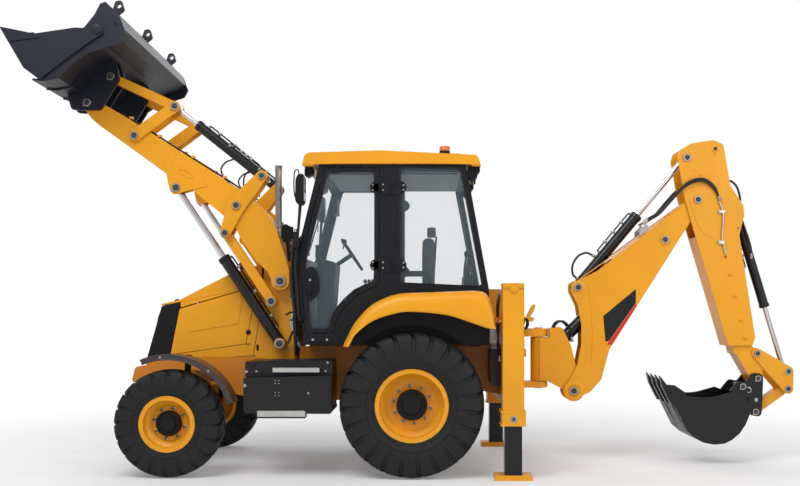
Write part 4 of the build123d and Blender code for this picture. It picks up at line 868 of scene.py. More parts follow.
# ---- side boxes and steps -------------------------------------------------------------------------
treads, box_trim, box_bolts, holes = (Form() for _ in range(4))
for _ in sides_of(treads, box_trim, box_bolts, holes):
    treads.box((825, 1242), (1003, 1088), (986, 994))
    treads.box((825, 1242), (1084, 1089), (958, 994))
    for k in range(26):
        x = 833 + k * 16
        treads.prism([(x, 992), (x + 6, 1003), (x + 12, 992)], 1005, 1087)
    treads.box((951, 1378), (962, 1098), (562.5, 570))
    treads.box((951, 1378), (1094, 1099), (552, 612))
    for k in range(26):
        x = 958 + k * 16
        treads.prism([(x, 569), (x + 6, 582), (x + 12, 569)], 966, 1094)
        treads.prism([(x, 611), (x + 6, 619), (x + 12, 611)], 1094, 1099)
    # folded lid, front flange, seams and bolts of the box
    box_trim.prism([(720, 1060), (1230, 1058), (1400, 1052), (1430, 1018), (1440, 1000), (1432, 1000),
        (1420, 1015), (1396, 1046), (1230, 1051), (720, 1053)], 640, 1012)
    box_trim.box((725, 1440), (1000, 1012), (930, 944))
    box_trim.tube([(1470, BOX_FACE + 0.5, 622), (1482, BOX_FACE + 0.5, 640), (1482, BOX_FACE + 0.5, 880),
        (1470, BOX_FACE + 0.5, 898), (740, BOX_FACE + 0.5, 915), (732, BOX_FACE + 0.5, 900),
        (732, BOX_FACE + 0.5, 650), (742, BOX_FACE + 0.5, 622)], 3, 6, closed=True, steps=1)
    for x, z in ((1500, 955), (1498, 838)):
        box_bolts.turn([(15, -2), (15, 4), (10, 8), (10, 13), (0, 13)],
            (x - 8, 1000 if z > 930 else BOX_FACE, z), OUT, 20)
    for x, z in ((924, 771), (1400, 960), (780, 962), (760, 1040)):
        box_bolts.bolt((x, BOX_FACE if z < 930 else 1012, z), OUT, 8)
    for x in (1186, 1218):
        for z in (885, 858, 776, 750):
            holes.turn([(4.5, 0), (4.5, 0.8), (0, 0.8)], (x, BOX_FACE, z), OUT, 12)
treads.place("step_treads", TREAD, bevel=0.8)
box_trim.place("box_trim", SATIN, bevel=1.5)
box_bolts.place("box_bolts", STEEL, bevel=0.6)
holes.place("box_holes", TREAD)

# ---- mudguards ------------------------------------------------------------------------------------
def guard_arc(radius):
    """Points round the front wheel, over the span of its mudguard."""
    low, high, count = 67, 162, 28
    turns = [radians(low + (high - low) * k / count) for k in range(count + 1)]
    return [(FRONT_WHEEL[0] + radius * cos(turn), FRONT_WHEEL[1] + radius * sin(turn)) for turn in turns]


for word, side in SIDES:
    skirt = Form(side)
    skirt.prism(guard_arc(623) + guard_arc(578)[::-1], 1030.5, 1036)
    skirt.prism(guard_arc(624) + guard_arc(619)[::-1], 800, 1036)
    for radius in (580, 622):
        skirt.tube([(x, 1036, z) for x, z in guard_arc(radius)], 6, 8, steps=1)
    skirt.place(f"mudguard_{word}", GUARD, f"{word}_knuckle", bevel=1.5)
    studs = Form(side)
    for angle in (84, 128):
        x, z = (middle + 604 * part(radians(angle)) for middle, part in zip(FRONT_WHEEL, (cos, sin)))
        studs.bolt((x, 1036, z), OUT, 9)
    studs.place(f"mudguard_bolts_{word}", STEEL, f"{word}_knuckle")


FENDER_LINE = [(625, 1186), (577, 1290), (528, 1381), (455, 1475), (369, 1558), (240, 1626), (103, 1664),
    (-150, 1675), (-400, 1684), (-590, 1688), (-680, 1650), (-735, 1500), (-762, 1352)]
MOUTH_LINE = [(560, 1186), (532, 1240), (501, 1292), (420, 1366), (324, 1425), (200, 1468), (59, 1496),
    (-140, 1489), (-340, 1461), (-520, 1402), (-630, 1364), (-694, 1347), (-742, 1343)]
for word, side in SIDES:
    crest = smooth_line([(x, 0, z) for x, z in FENDER_LINE], 5)
    mouth = smooth_line([(x, 0, z) for x, z in MOUTH_LINE], 5)
    bm = bmesh.new()
    rows = []
    for top, low in zip(crest, mouth):
        down = low - top
        reach = down.length
        down.normalize()
        row = [(760, 0.0), (900, 0.0), (1010, 2.0), (1060, 7.0), (1095, 18.0), (1122, 36.0), (1138, 62.0),
            (1146, 96.0)]
        points = [(top + down * min(drop, reach * 0.6), y) for y, drop in row]
        points += [(top + down * (96 + (reach - 96) * t) if reach > 96 else top + down * reach
            * (0.6 + 0.4 * t), y) for t,
            y in ((0.35, 1149), (0.7, 1149.5), (0.94, 1149.5), (1.0, 1143), (0.99, 1134))]
        rows.append([bm.verts.new(spot(p[0], side * y, p[2])) for p, y in points])
    for one, two in zip(rows, rows[1:]):
        for k in range(len(one) - 1):
            bm.faces.new((one[k], one[k + 1], two[k + 1], two[k]))
    form = Form(bm=bm)
    fender = form.place(f"fender_{word}", YELLOW, soft=True)
    thick = fender.modifiers.new("sheet", "SOLIDIFY")
    thick.thickness = 0.006
    thick.offset = -1.0
    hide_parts("rear_fenders")
    Form(side).prism([(x, z) for x, z in ((610, 1190), (513, 1370), (355, 1538), (98, 1640), (-585, 1664),
        (-668, 1625), (-740, 1352), (-752, 1352), (-682, 1634), (-592, 1677), (100, 1652), (362, 1547),
        (520, 1376), (619, 1190))], 764, 1000).place(f"fender_liner_{word}", PLASTIC, bevel=1)

# ---- cab outside -----------------------------------------------------------------------------------
DOOR_LINE = [(985, 1300), (1040, 1941), (818, 2835), (309, 2835), (309, 1760), (340, 1735), (513, 1660),
    (661, 1510), (720, 1390), (735, 1300)]
QUARTER_LINE = [(118, 2850), (118, 1764), (-655, 1730), (-448, 2835)]


def shrunk(corners, amount):
    """A convex-ish outline moved in towards its middle by an amount at each edge."""
    count = len(corners)
    area = sum(corners[i][0] * corners[(i + 1) % count][1] - corners[(i + 1) % count][0] * corners[i][1] for i
        in range(count))
    turn = 1 if area > 0 else -1
    result = []
    for i in range(count):
        before, here, after = (Vector(corners[(i + k) % count]) for k in (-1, 0, 1))
        one, two = (here - before).normalized(), (after - here).normalized()
        n1, n2 = Vector((-one.y, one.x)) * turn, Vector((-two.y, two.x)) * turn
        middle = (n1 + n2).normalized()
        result.append(tuple(here + middle * amount / max(0.3, middle.dot(n1))))
    return result


for word, side in SIDES:
    door = f"{word}_door"
    seal = Form(side)
    seal.tube([(x, 757, z) for x, z in shrunk(DOOR_LINE, 46)], 7, 8, closed=True, steps=2)
    seal.tube([(x, 757, z) for x, z in shrunk(DOOR_LINE, 8)], 4, 6, closed=True, steps=2)
    seal.place(f"door_seal_{word}", SEAL, door, soft=True)
    Form(side).tube([(x, 716, z) for x, z in shrunk(DOOR_LINE, -5)], 12, 8, closed=True,
        steps=1).place(f"door_rebate_{word}", SEAL, soft=True)
    Form(side).tube([(x, 759, z) for x, z in shrunk(QUARTER_LINE, 4)], 9, 8, closed=True,
        steps=1).place(f"quarter_seal_{word}", SEAL, soft=True)
    # lock housing with its handle
    lock = Form(side)
    lock.prism(oval(939, 1764, 78, 155, 36), 750, 764)
    lock.prism(oval(939, 1764, 64, 138, 36), 764, 769)
    
    lock.place(f"lock_housing_{word}", SATIN, door, bevel=5)
    handle = Form(side)
    handle.tube([(x, 769, z) for x, z in oval(948, 1735, 40, 92, 28)], 5, 8, closed=True, steps=1)
    handle.prism([(934, 1660), (962, 1660), (966, 1760), (930, 1760)], 768, 784)
    handle.place(f"door_handle_{word}", PLASTIC, door, bevel=4)
    Form(side).turn([(14, 0), (14, 10), (11, 13), (0, 13)], (948, 769, 1792), OUT,
        20).place(f"door_lock_{word}", STEEL, door, bevel=0.6)
    # hinges: a leaf on the post and a leaf on the door, round one barrel
    for tag, z in (("top", 2650), ("low", 1930)):
        leaf = Form(side)
        leaf.prism([(292, z + 60), (250, z + 70), (205, z + 66), (150, z + 72), (105, z + 62), (72, z + 44),
            (54, z + 14), (54, z - 14), (72, z - 44), (105, z - 62), (150, z - 72), (205, z - 66),
            (250, z - 70), (292, z - 60)], 761, 768)
        for k in (-1, 0, 1):
            leaf.turn([(0, z + k * 40 - 17), (13, z + k * 40 - 17), (13, z + k * 40 + 17),
                (0, z + k * 40 + 17)], (191, 769, 0), "Z", 16)
        leaf.place(f"hinge_post_{word}_{tag}", SATIN, bevel=2)
        Form(side).prism([(312, z + 60), (352, z + 56), (384, z + 34), (396, z), (384, z - 34), (352, z - 56),
            (312, z - 60)], 758.5, 766).place(f"hinge_door_{word}_{tag}", SATIN, door, bevel=2)
        bolts = Form(side)
        for x, dz in ((272, 26), (272, -26), (82, 22), (82, -22)):
            bolts.turn([(9, 0), (9, 3), (7, 6), (0, 6)], (x, 768, z + dz), OUT, 14)
        bolts.place(f"hinge_bolts_{word}_{tag}", TREAD)
        bolts = Form(side)
        for dz in (26, -26):
            bolts.turn([(9, 0), (9, 3), (7, 6), (0, 6)], (366, 766, z + dz), OUT, 14)
        bolts.place(f"hinge_door_bolts_{word}_{tag}", TREAD, door)
    # sill plate with its bolts, and the grab rail on the front post
    sill = Form(side)
    sill.prism([(1012, 1200), (1006, 1290), (742, 1290), (690, 1275), (672, 1200)], 760, 766)
    sill.prism([(960, 1216), (956, 1262), (760, 1262), (752, 1216)], 766, 770)
    sill.place(f"sill_plate_{word}", SATIN, bevel=5)
    bolts = Form(side)
    for x in (922, 791):
        bolts.turn([(13, 0), (13, 4), (10, 8), (0, 9)], (x, 770, 1239), OUT, 18)
    bolts.place(f"sill_bolts_{word}", TREAD)
    Form(side).tube([(1010, 768, 1420), (1042, 800, 1440), (1060, 806, 1640), (1078, 806, 1880),
        (1062, 806, 2080), (1030, 800, 2180), (1008, 768, 2196)], 13, 12).place(f"grab_rail_{word}", BLACK,
        soft=True)
    # mirror head, clamp and stay
    Form(side).prism([(985, 2500), (1000, 2478), (1050, 2482), (1066, 2520), (1062, 2700), (1044, 2750),
        (1000, 2754), (984, 2730)], 797, 936).place(f"mirror_head_{word}", PLASTIC, bevel=14)
    Form(side).box((981, 985), (806, 927), (2508, 2724)).place(f"mirror_glass_{word}", MIRROR, bevel=3)
    stay = Form(side)
    stay.tube([(1058, 862, 2080), (1046, 862, 2240), (1034, 862, 2400), (1030, 862, 2500)], 12, 10)
    stay.tube([(1040, 862, 2752), (1042, 862, 2790), (1062, 862, 2800), (1080, 862, 2770), (1084, 862, 2640),
        (1076, 862, 2560), (1062, 862, 2540)], 6, 8)
    stay.box((1034, 1084), (764, 888), (2100, 2150))
    stay.box((1040, 1090), (838, 886), (2090, 2230))
    stay.place(f"mirror_stay_{word}", BLACK, bevel=3)
    # lamps under the roof, front and rear
    lamp = Form(side)
    lamp.prism([(930, 2846), (1004, 2846), (1010, 2772), (985, 2760), (936, 2786)], 560, 700)
    lamp.prism([(-520, 2850), (-628, 2850), (-624, 2800), (-606, 2798), (-604, 2752), (-570, 2724),
        (-540, 2724), (-515, 2760)], 520, 720)
    for x, z in ((-585, 2700), (-560, 2706)):
        lamp.box((x - 8, x + 8), (600, 640), (z, z + 40))
    lamp.place(f"roof_lamps_{word}", PLASTIC, bevel=5)
    face = Form(side)
    face.box((1008, 1012), (575, 685), (2782, 2838))
    face.box((-632, -628), (535, 705), (2806, 2842))
    face.place(f"roof_lamp_lenses_{word}", CLEAR_LENS, bevel=3)
    Form(side).box((-774, -766), (990, 1110), (1390, 1450)).place(f"tail_lamp_{word}", RED_LENS, bevel=4)

beacon = Form()
beacon.turn([(46, 3022), (46, 3058), (42, 3066), (34, 3069), (0, 3069)], (*BEACON, 0), "Z", 32)
for k in range(18):
    turn = 2 * pi * k / 18
    beacon.turn([(3, 3024), (3, 3062), (0, 3062)],
        (BEACON[0] + 46 * cos(turn), BEACON[1] + 46 * sin(turn), 0), "Z", 6)
beacon.place("beacon_lens", AMBER_LENS, bevel=1.5)
Form().turn([(58, 2984), (58, 3000), (50, 3008), (50, 3022), (0, 3022)], (*BEACON, 0), "Z",
    32).place("beacon_base", PLASTIC, bevel=1.5)

roof_trim = Form()
for _ in sides_of(roof_trim):
    roof_trim.tube([(1012, 785, 2858), (920, 785.5, 2866), (200, 785.5, 2876), (-520, 785.5, 2866),
        (-628, 785, 2856)], 5, 8, steps=3)
    roof_trim.box((-440, 800), (560, 600), (2960, 2994))
    roof_trim.box((-440, 800), (250, 290), (2966, 2998))
roof_trim.place("roof_ribs", YELLOW, bevel=6)
Form().box((-420, 800), (-640, 640), (2790, 2800)).place("headlining", CLOTH, bevel=3)

wipers = Form()
wipers.tube([(1052, 40, 2100), (1046, 10, 2120), (988, -120, 2380), (975, -130, 2420)], 7, 8)
wipers.tube([(1000, -300, 2330), (960, 60, 2470)], 6, 8, steps=1)
wipers.box((1046, 1080), (10, 80), (2060, 2110))
wipers.tube([(-690, 60, 1830), (-694, 40, 1850), (-640, -80, 2130)], 7, 8)
wipers.tube([(-668, -260, 2040), (-640, 100, 2190)], 6, 8, steps=1)
wipers.place("wipers", BLACK, soft=True)
screens = Form()
for (x, z), (end_x, end_z) in (((1063, 2014), (873, 2776)), ((-498, 2776), (-686, 1764))):
    screens.tube([(x, -640, z), (x, 640, z), (end_x, 640, end_z), (end_x, -640, end_z)], 10, 8, closed=True,
        steps=1)
for _ in sides_of(screens):
    screens.tube([(1003, 404, 1334), (1003, 636, 1334), (1073, 636, 1896), (1073, 404, 1896)], 8, 8,
        closed=True, steps=1)
screens.place("screen_seals", SEAL, soft=True)

# work lamp on the tower, and the hose run down the front post
block = Form()
block.prism([(1190, 2180), (1262, 2176), (1282, 2230), (1276, 2330), (1240, 2352), (1196, 2330),
    (1176, 2260)], 250, 345)
block.prism([(1196, 2060), (1232, 2060), (1240, 2180), (1204, 2180)], 280, 320)
for k in range(5):
    block.box((1174, 1284), (258 + k * 18, 264 + k * 18), (2210, 2326))
block.place("work_lamp", PLASTIC, bevel=6)
Form().prism([(1150, 1880), (1200, 1880), (1236, 2070), (1200, 2070)], 292, 308).place("work_lamp_stay",
    BLACK, bevel=2)
hose("lamp_lead", "chassis", [(1210, 330, 2190), (1180, 380, 2120), (1150, 470, 2076), (1112, 560, 2060),
    (1092, 650, 2040)], 9, ends=(False, False))
for k, (dx, dy, radius) in enumerate(((0, 0, 12), (16, 22, 10), (-14, 26, 10), (4, 50, 11), (-6, -24, 9))):
    hose(f"post_run_{k}", "chassis",
        [(1098 + dx * 0.6, 650 + dy, 2230 - 26 * k), (1112 + dx, 660 + dy, 2080), (1118 + dx, 664 + dy, 1900),
        (1112 + dx * 1.4, 660 + dy, 1700), (1098 + dx, 650 + dy, 1530), (1088 + dx * 1.6, 630 + dy, 1370),
        (1092 + dx, 600 + dy, 1200), (1096 + dx, 560 + dy, 1090)], radius, ends=(True, False))
hose("lift_feed", "chassis", [(1180, 470, 1235), (1150, 505, 1300), (1100, 560, 1360), (1085, 610, 1330),
    (1092, 600, 1230)], 10, ends=(True, False))
hose("lift_feed_return", "chassis", [(1195, 480, 1480), (1160, 530, 1492), (1110, 600, 1486),
    (1086, 640, 1440)], 9, ends=(True, False))
wires = Form()
for k in range(4):
    wires.tube([(1116 + 7 * k, 672 - 6 * k, 1500 - 12 * k), (1128 + 5 * k, 650, 1390 - 8 * k),
        (1100 - 7 * k, 640, 1250), (1080 - 8 * k, 630, 1180 - 10 * k)], 3.2, 6)
wires.place("post_wires", TREAD, soft=True)
clips = Form()
for z in (2060, 1860, 1640, 1420):
    clips.box((1078, 1146), (628, 712), (z - 7, z + 7))
clips.place("hose_clips", BLACK, bevel=3)

# ---- cab inside --------------------------------------------------------------------------------------
def cushion(name, x, y, z):
    """A crowned pad, from a subdivided block."""
    bm = bmesh.new()
    steps = 10
    grid = {}
    for i in range(steps + 1):
        for j in range(steps + 1):
            for k in range(steps + 1):
                if 0 < i < steps and 0 < j < steps and 0 < k < steps:
                    continue
                u, v, w = (2 * t / steps - 1 for t in (i, j, k))
                px = u * sqrt(1 - v * v * 0.10 - w * w * 0.12)
                py = v * sqrt(1 - u * u * 0.10 - w * w * 0.12)
                pz = w * sqrt(1 - u * u * 0.22 - v * v * 0.22)
                grid[i, j, k] = bm.verts.new(spot((x[0] + x[1]) / 2 + px * (x[1] - x[0]) / 2,
                    (y[0] + y[1]) / 2 + py * (y[1] - y[0]) / 2, (z[0] + z[1]) / 2 + pz * (z[1] - z[0]) / 2))
    for a in range(steps):
        for b in range(steps):
            for face in (((0, a, b), (0, a + 1, b), (0, a + 1, b + 1), (0, a, b + 1)),
                    ((steps, a, b), (steps, a, b + 1), (steps, a + 1, b + 1), (steps, a + 1, b)),
                    ((a, 0, b), (a, 0, b + 1), (a + 1, 0, b + 1), (a + 1, 0, b)),
                    ((a, steps, b), (a + 1, steps, b), (a + 1, steps, b + 1), (a, steps, b + 1)),
                    ((a, b, 0), (a + 1, b, 0), (a + 1, b + 1, 0), (a, b + 1, 0)),
                    ((a, b, steps), (a, b + 1, steps), (a + 1, b + 1, steps), (a + 1, b, steps))):
                bm.faces.new([grid[key] for key in face])
    form = Form(bm=bm)
    piece = form.place(name, CLOTH, soft=True)
    swell = piece.modifiers.new("round", "SUBSURF")
    swell.levels = swell.render_levels = 1
    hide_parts("seat")


cushion("seat_cushion", (-170, 290), (-232, 232), (1570, 1698))
cushion("seat_bolster_left", (-150, 270), (150, 238), (1600, 1700))
cushion("seat_bolster_right", (-150, 270), (-238, -150), (1600, 1700))
cushion("seat_back", (-215, -85), (-225, 225), (1700, 2240))
cushion("seat_headrest", (-225, -135), (-120, 120), (2245, 2345))
seat_frame = Form()
seat_frame.turn([(88, 1204), (88, 1230), (60, 1250), (60, 1480), (90, 1500), (0, 1500)], (60, 0, 0), "Z", 28)
seat_frame.box((-150, 250), (-190, 190), (1500, 1560))
seat_frame.prism([(-178, 1560), (-190, 1900), (-218, 2240), (-236, 2240), (-214, 1880), (-200, 1560)], -200,
    200)
for _ in sides_of(seat_frame):
    seat_frame.box((-140, 150), (236, 239), (1860, 1900))
    seat_frame.tube([(-190, 200, 1760), (-160, 236, 1800), (-150, 238, 1860)], 12, 8)
frame_piece = seat_frame.place("seat_frame", PLASTIC, bevel=4)
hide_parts("seat")

inside = Form()
inside.turn([(0, 0), (20, 0), (26, 14), (26, 34), (18, 46), (0, 48)], (688, 140, 2170), "Z", 20)
inside.tube([(700, 140, 2120), (690, 140, 2170)], 7, 8, steps=1)
for k in range(6):
    x, y = -560 + (k % 3) * 26, -180 + k * 72
    inside.tube([(x, y, 1860), (x - 6, y, 1960), (x - 22, y, 2060)], 8, 8)
    inside.turn([(0, 2050), (16, 2056), (22, 2072), (18, 2096), (8, 2106), (0, 2108)], (x - 22, y, 0), "Z",
        16)
for k in range(3):
    inside.tube([(420 + 40 * k, -330, 1560), (425 + 40 * k, -330, 1700), (430 + 40 * k, -326, 1800)], 7, 8)
    inside.turn([(0, 1790), (15, 1796), (20, 1812), (14, 1832), (0, 1838)], (430 + 40 * k, -326, 0), "Z", 16)
inside.prism([(330, 1204), (600, 1204), (590, 1540), (560, 1570), (360, 1570)], -400, -270)
inside.box((760, 800), (-140, 140), (2470, 2640))
inside.tube([(800, 0, 2640), (830, 0, 2700), (860, 0, 2760)], 9, 8)
inside.place("cab_controls", PLASTIC, bevel=6)
floor_mat = Form()
floor_mat.box((300, 960), (-600, 600), (1204, 1212))
for k in range(16):
    floor_mat.box((320 + k * 38, 336 + k * 38), (-580, 580), (1212, 1215))
for y in (-60, 60, 170):
    floor_mat.prism([(770, 1215), (820, 1330), (800, 1340), (745, 1225)], y - 34, y + 34)
floor_mat.place("floor_mat", RUBBER, slot="black_plastic", bevel=2)

# ---- rear frame, stabilizers and swing ------------------------------------------------------------
kingpost, bolts, plugs = (Form() for _ in range(3))
for word, side in sides_of(kingpost, bolts, plugs):
    out = 1161
    kingpost.box((-990, -812), (1155, 1166), (1712, 1752))
    kingpost.box((-1000, -802), (985, 1167), (1738, 1748))
    kingpost.tube([(-994, out, 640), (-994, out, 1730)], 3, 6, steps=1)
    kingpost.box((-1012, -790), (968, 1172), (600, 622))
    kingpost.box((-1012, -790), (968, 1172), (484, 500))
    bolts.turn([(31, -1), (31, 3.3), (30.5, 3.6), (16, 3.6), (16, -1)], (LEG_X, 1172, 548), OUT, 28)
    plugs.turn([(16, -1), (16, 3.4), (0, 3.4)], (LEG_X, 1172, 548), OUT, 28)
    kingpost.turn([(34, -1), (34, 3), (26, 6), (24, 6)], (LEG_X, 1166, 1696), OUT, 32)
    plugs.turn([(24, 0), (24, 3), (20, 5), (0, 5)], (LEG_X, 1166, 1696), OUT, 28)
    for dx in (-78, -56, 56, 78):
        plugs.turn([(5, 0), (5, 1), (0, 1)], (LEG_X + dx, 1166, 1700), OUT, 10)
    for k in range(3):
        hose(f"leg_line_{word}_{k}", "chassis",
            [(-795 + 8 * k, 930 - 22 * k, 1660 - 40 * k), (-786 + 5 * k, 918 - 20 * k, 1500),
            (-778 - 6 * k, 900 - 18 * k, 1340), (-792 + 4 * k, 880 - 20 * k, 1200),
            (-800, 860 - 20 * k, 1090)], 9, side=side)
kingpost.place("kingpost_trim", YELLOW, bevel=2)
bolts.place("kingpost_bolts", STEEL)
plugs.place("kingpost_plugs", IRON)
for word, side in SIDES:
    form = Form(side)
    form.prism([(-1066, 45), (-1058, 48), (-986, 48), (-983, 45)], 966, 1160)
    form.prism([(-825, 45), (-822, 48), (-750, 48), (-742, 45)], 966, 1160)
    form.place(f"leg_gussets_{word}", YELLOW, f"{word}_stabilizer", bevel=2)

valve = Form()
valve.box((-1075, -1046), (-200, 210), (1260, 1420))
for k in range(6):
    for z in (1390, 1300):
        valve.turn([(0, -4), (17, -4), (17, 24), (12, 30), (0, 30)], (-1075, -170 + k * 68, z), (-1, 0, 0),
            12)
for k in range(4):
    valve.box((-1092, -1046), (-120, 120), (1076 + 36 * k, 1104 + 36 * k))
valve.place("swing_valve", BLACK, "carriage", bevel=4)
unions = Form()
for k in range(4):
    for y in (-84, 0, 84):
        unions.turn([(12, 0), (12, 8), (9, 10), (9, 20), (0, 20)], (-1092, y, 1090 + 36 * k), (-1, 0, 0), 12)
unions.place("swing_unions", TREAD, "carriage")
latch = Form()
latch.prism([(-1120, 1440), (-1180, 1560), (-1205, 1575), (-1222, 1560), (-1200, 1500), (-1150, 1420)], 60,
    84)
latch.prism([(-1046, 1400), (-1190, 1400), (-1210, 1430), (-1180, 1446), (-1046, 1446)], 50, 94)
latch.place("boom_lock", YELLOW, "carriage", bevel=4)
for k in range(3):
    hose(f"carriage_line_{k}", "carriage",
        [(-1082, 190 - 64 * k, 1392), (-1104, 192 - 64 * k, 1424), (-1126, 188 - 62 * k, 1420),
        (-1136, 182 - 60 * k, 1380), (-1124, 176 - 58 * k, 1340), (-1096, 172 - 58 * k, 1322)], 10)
    hose(f"frame_line_{k}", "chassis",
        [(-880, 260 + 50 * k, 1470), (-884, 264 + 50 * k, 1520), (-888, 274 + 50 * k, 1542),
        (-888, 286 + 50 * k, 1542), (-884, 294 + 50 * k, 1520), (-880, 298 + 50 * k, 1470)], 11)
for word, side in SIDES:
    hose(f"post_line_{word}", "swing_post",
        [(-1400, 66, 1330), (-1440, 76, 1390), (-1500, 84, 1400), (-1560, 80, 1340), (-1580, 70, 1240)], 10,
        side=side)
rails = Form()
for z in (1330, 1400, 640, 720):
    rails.box((-1004, -996), (-990, 990), (z - 5, z + 5))
for k in range(7):
    y = -840 + 280 * k
    for z in (1240, 820):
        rails.turn([(15, 0), (15, 6), (11, 9), (0, 9)], (-872, y, z), (-1, 0, 0), 6)
rails.place("slide_rails", STEEL, bevel=1)

PAD_BOLTS = ((-3169, 1868), (-3217, 1654), (-3272, 1416), (-3318, 1237))  # of the dipper's wear pads

# ---- boom and dipper ---------------------------------------------------------------------------------
black_panel, red_stripe, boom_trim = (Form() for _ in range(3))
for _ in sides_of(black_panel, red_stripe, boom_trim):
    near = BOOM_FACE
    black_panel.prism([(-2215, 1724), (-1890, 1455), (-1912, 1200), (-1946, 1206), (-2215, 1585)], near,
        near + 1.5)
    red_stripe.prism([(-2216, 1580), (-1948, 1200), (-1922, 1168), (-1974, 1168), (-2226, 1554)], near,
        near + 1.2)
    # doubler plates and weld beads
    boom_trim.turn([(104, -1), (104, 3), (98, 6), (60, 6)], (BOOM_FOOT[0], near, BOOM_FOOT[1]), OUT, 40)
    boom_trim.turn([(66, -1), (66, 3), (61, 6), (40, 6)], (DIPPER_RAM_BASE[0], near, DIPPER_RAM_BASE[1]), OUT,
        36)
    boom_trim.turn([(62, -1), (62, 3), (58, 6), (40, 6)], (BOOM_RAM_TOP[0], near, BOOM_RAM_TOP[1]), OUT, 36)
    boom_trim.tube([(-1740, near, 1760), (-1770, near, 1500), (-1782, near, 1250), (-1770, near, 980)], 4, 6)
    boom_trim.tube([(-1640, 101, 1806), (-2740, 101, 2604)], 6, 6, steps=1)
black_panel.place("boom_panel", BLACK, "boom")
red_stripe.place("boom_stripe", RED, "boom")
boom_trim.place("boom_welds", YELLOW, "boom", bevel=1)
ports = Form()
for _ in sides_of(ports):
    ports.prism([(-2250, 2246), (-2340, 2312), (-2340, 2362), (-2310, 2368), (-2250, 2310)], 100, 114)
ports.place("boom_ports", STEEL, "boom", bevel=2)

for word, side in SIDES:
    for lane in range(2 if side > 0 else 1):
        lift = 20 * lane
        hose(f"knuckle_{word}_{lane}", None,
            [(-2330, 106, 2400 + lift), (-2450, 118, 2475 + lift), (-2570, 140, 2610 + lift),
            (-2690, 158, 2735 + lift), (-2800, 166, 2790 + lift), (-2900, 166, 2785 + lift),
            (-2985, 162, 2715 + lift), (-3026, 154, 2640)], 11, ends=(True, lane == 0), side=side,
            blend=("boom", "dipper", (-2600, 0, 2600), (-2990, 0, 2700)))
    pipe = Form(side)
    pipe.tube([(-3034, 152, 2590), (-3062, 152, 2520), (-3074, 152, 2440), (-3068, 152, 2320),
        (-3064, 152, 2220), (-3080, 152, 2150), (-3093, 150, 2090), (-3098, 140, 2066)], 9, 10)
    for x, z in ((-3066, 2490), (-3062, 2186)):
        pipe.box((x - 22, x + 40), (138, 165), (z - 15, z + 15))
        pipe.bolt((x + 26, 165, z), OUT, 8)
    pipe.place(f"dipper_pipe_{word}", TREAD, "dipper", bevel=2)
    trim = Form(side)
    face = DIPPER_FACE
    trim.tube([(-2744, face, 2600), (-2790, face, 2450), (-2850, face, 2320), (-2915, face, 2255),
        (-2994, face, 2222)], 4, 6)
    trim.tube([(-2700, face, 2960), (-2830, face, 2880), (-2900, face, 2740)], 3, 6)
    for x, z in PAD_BOLTS:
        trim.turn([(24, -1), (24, 4), (20, 7), (14, 7)], (x + 20, face, z), OUT, 24)
    trim.turn([(34, -1), (34, 5), (28, 8), (20, 8)], (-2998, face, 3117), OUT, 28)
    trim.place(f"dipper_trim_{word}", YELLOW, "dipper", bevel=1)
    studs = Form(side)
    caps = Form(side)
    for x, z in PAD_BOLTS:
        caps.bolt((x + 20, face + 6, z), OUT, 11)
    caps.place(f"dipper_caps_{word}", YELLOW, "dipper")
    Form(side).turn([(12, -4), (12, 16), (9, 20), (0, 20)], (-3100, 137, 2050), (-0.2, 0, -1),
        14).place(f"dipper_pipe_cap_{word}", RED, "dipper")
    studs.turn([(19, 0), (19, 9), (15, 11), (0, 11)], (-2998, face, 3117), OUT, 24)
    studs.turn([(5, 0), (5, 3), (0, 3)], (-2995, face, 3060), OUT, 12)
    studs.turn([(8, 0), (8, 4), (0, 4)], (-3226, face, 2329), OUT, 14)
    studs.place(f"dipper_studs_{word}", IRON, "dipper")
hose("crowd_feed", "crowd_barrel", [(-3268, 52, 2440), (-3300, 60, 2380), (-3330, 60, 2300),
    (-3356, 72, 2210), (-3372, 84, 2130), (-3378, 72, 2076)], 11)
hose("dipper_end", "dipper", [(-3100, 90, 2790), (-3170, 96, 2800), (-3230, 92, 2740), (-3262, 84, 2640),
    (-3262, 80, 2580)], 11)

# ---- buckets -----------------------------------------------------------------------------------------
def ahead_of_bucket(ahead, above):
    """Side point of the loader bucket from (ahead, above) its pivot."""
    return (BUCKET_PIVOT[0] + ahead * cos(BUCKET_SLOPE) - above * sin(BUCKET_SLOPE),
        BUCKET_PIVOT[1] + ahead * sin(BUCKET_SLOPE) + above * cos(BUCKET_SLOPE))


for word, side in SIDES:
    cutter = Form(side)
    cutter.prism([(3612, 3957), (3362, 3984), (3318, 3939), (3568, 3904)], 1106, 1126)
    cutter.turn([(44, -4), (44, 6), (38, 9), (16, 9), (16, 11), (0, 11)],
        (CLAM_PIVOT[0], 1116, CLAM_PIVOT[1]), OUT, 36)
    cutter.place(f"side_cutter_{word}", BUCKET, "bucket_clam", bevel=1.5)
edge = Form()
edge.prism([ahead_of_bucket(*p) for p in ((768, -221), (700, -223), (560, -223), (560, -221), (735, -203),
    (762, -214))], -1096, 1096)
for k in range(9):
    y = -960 + 240 * k
    x, z = ahead_of_bucket(640, -223)
    edge.turn([(17, -1), (17, 5), (12, 8), (0, 8)], (x, y, z),
        Vector((sin(BUCKET_SLOPE), 0, -cos(BUCKET_SLOPE))), 12)
edge.place("cutting_edge", STEEL, "bucket_clam", bevel=1)
ribs = Form()
for k in range(5):
    y = -800 + 400 * k
    ribs.prism([ahead_of_bucket(*p) for p in ((108, 0), (150, -122), (206, -206), (196, -216), (136, -130),
        (96, 0), (158, 152), (172, 150))], y - 8, y + 8)
for _ in sides_of(ribs):
    ribs.bolt((2645, 1116, 4080), OUT, 9)
ribs.place("bucket_ribs", BUCKET, "loader_bucket", bevel=2)
hooks = Form()
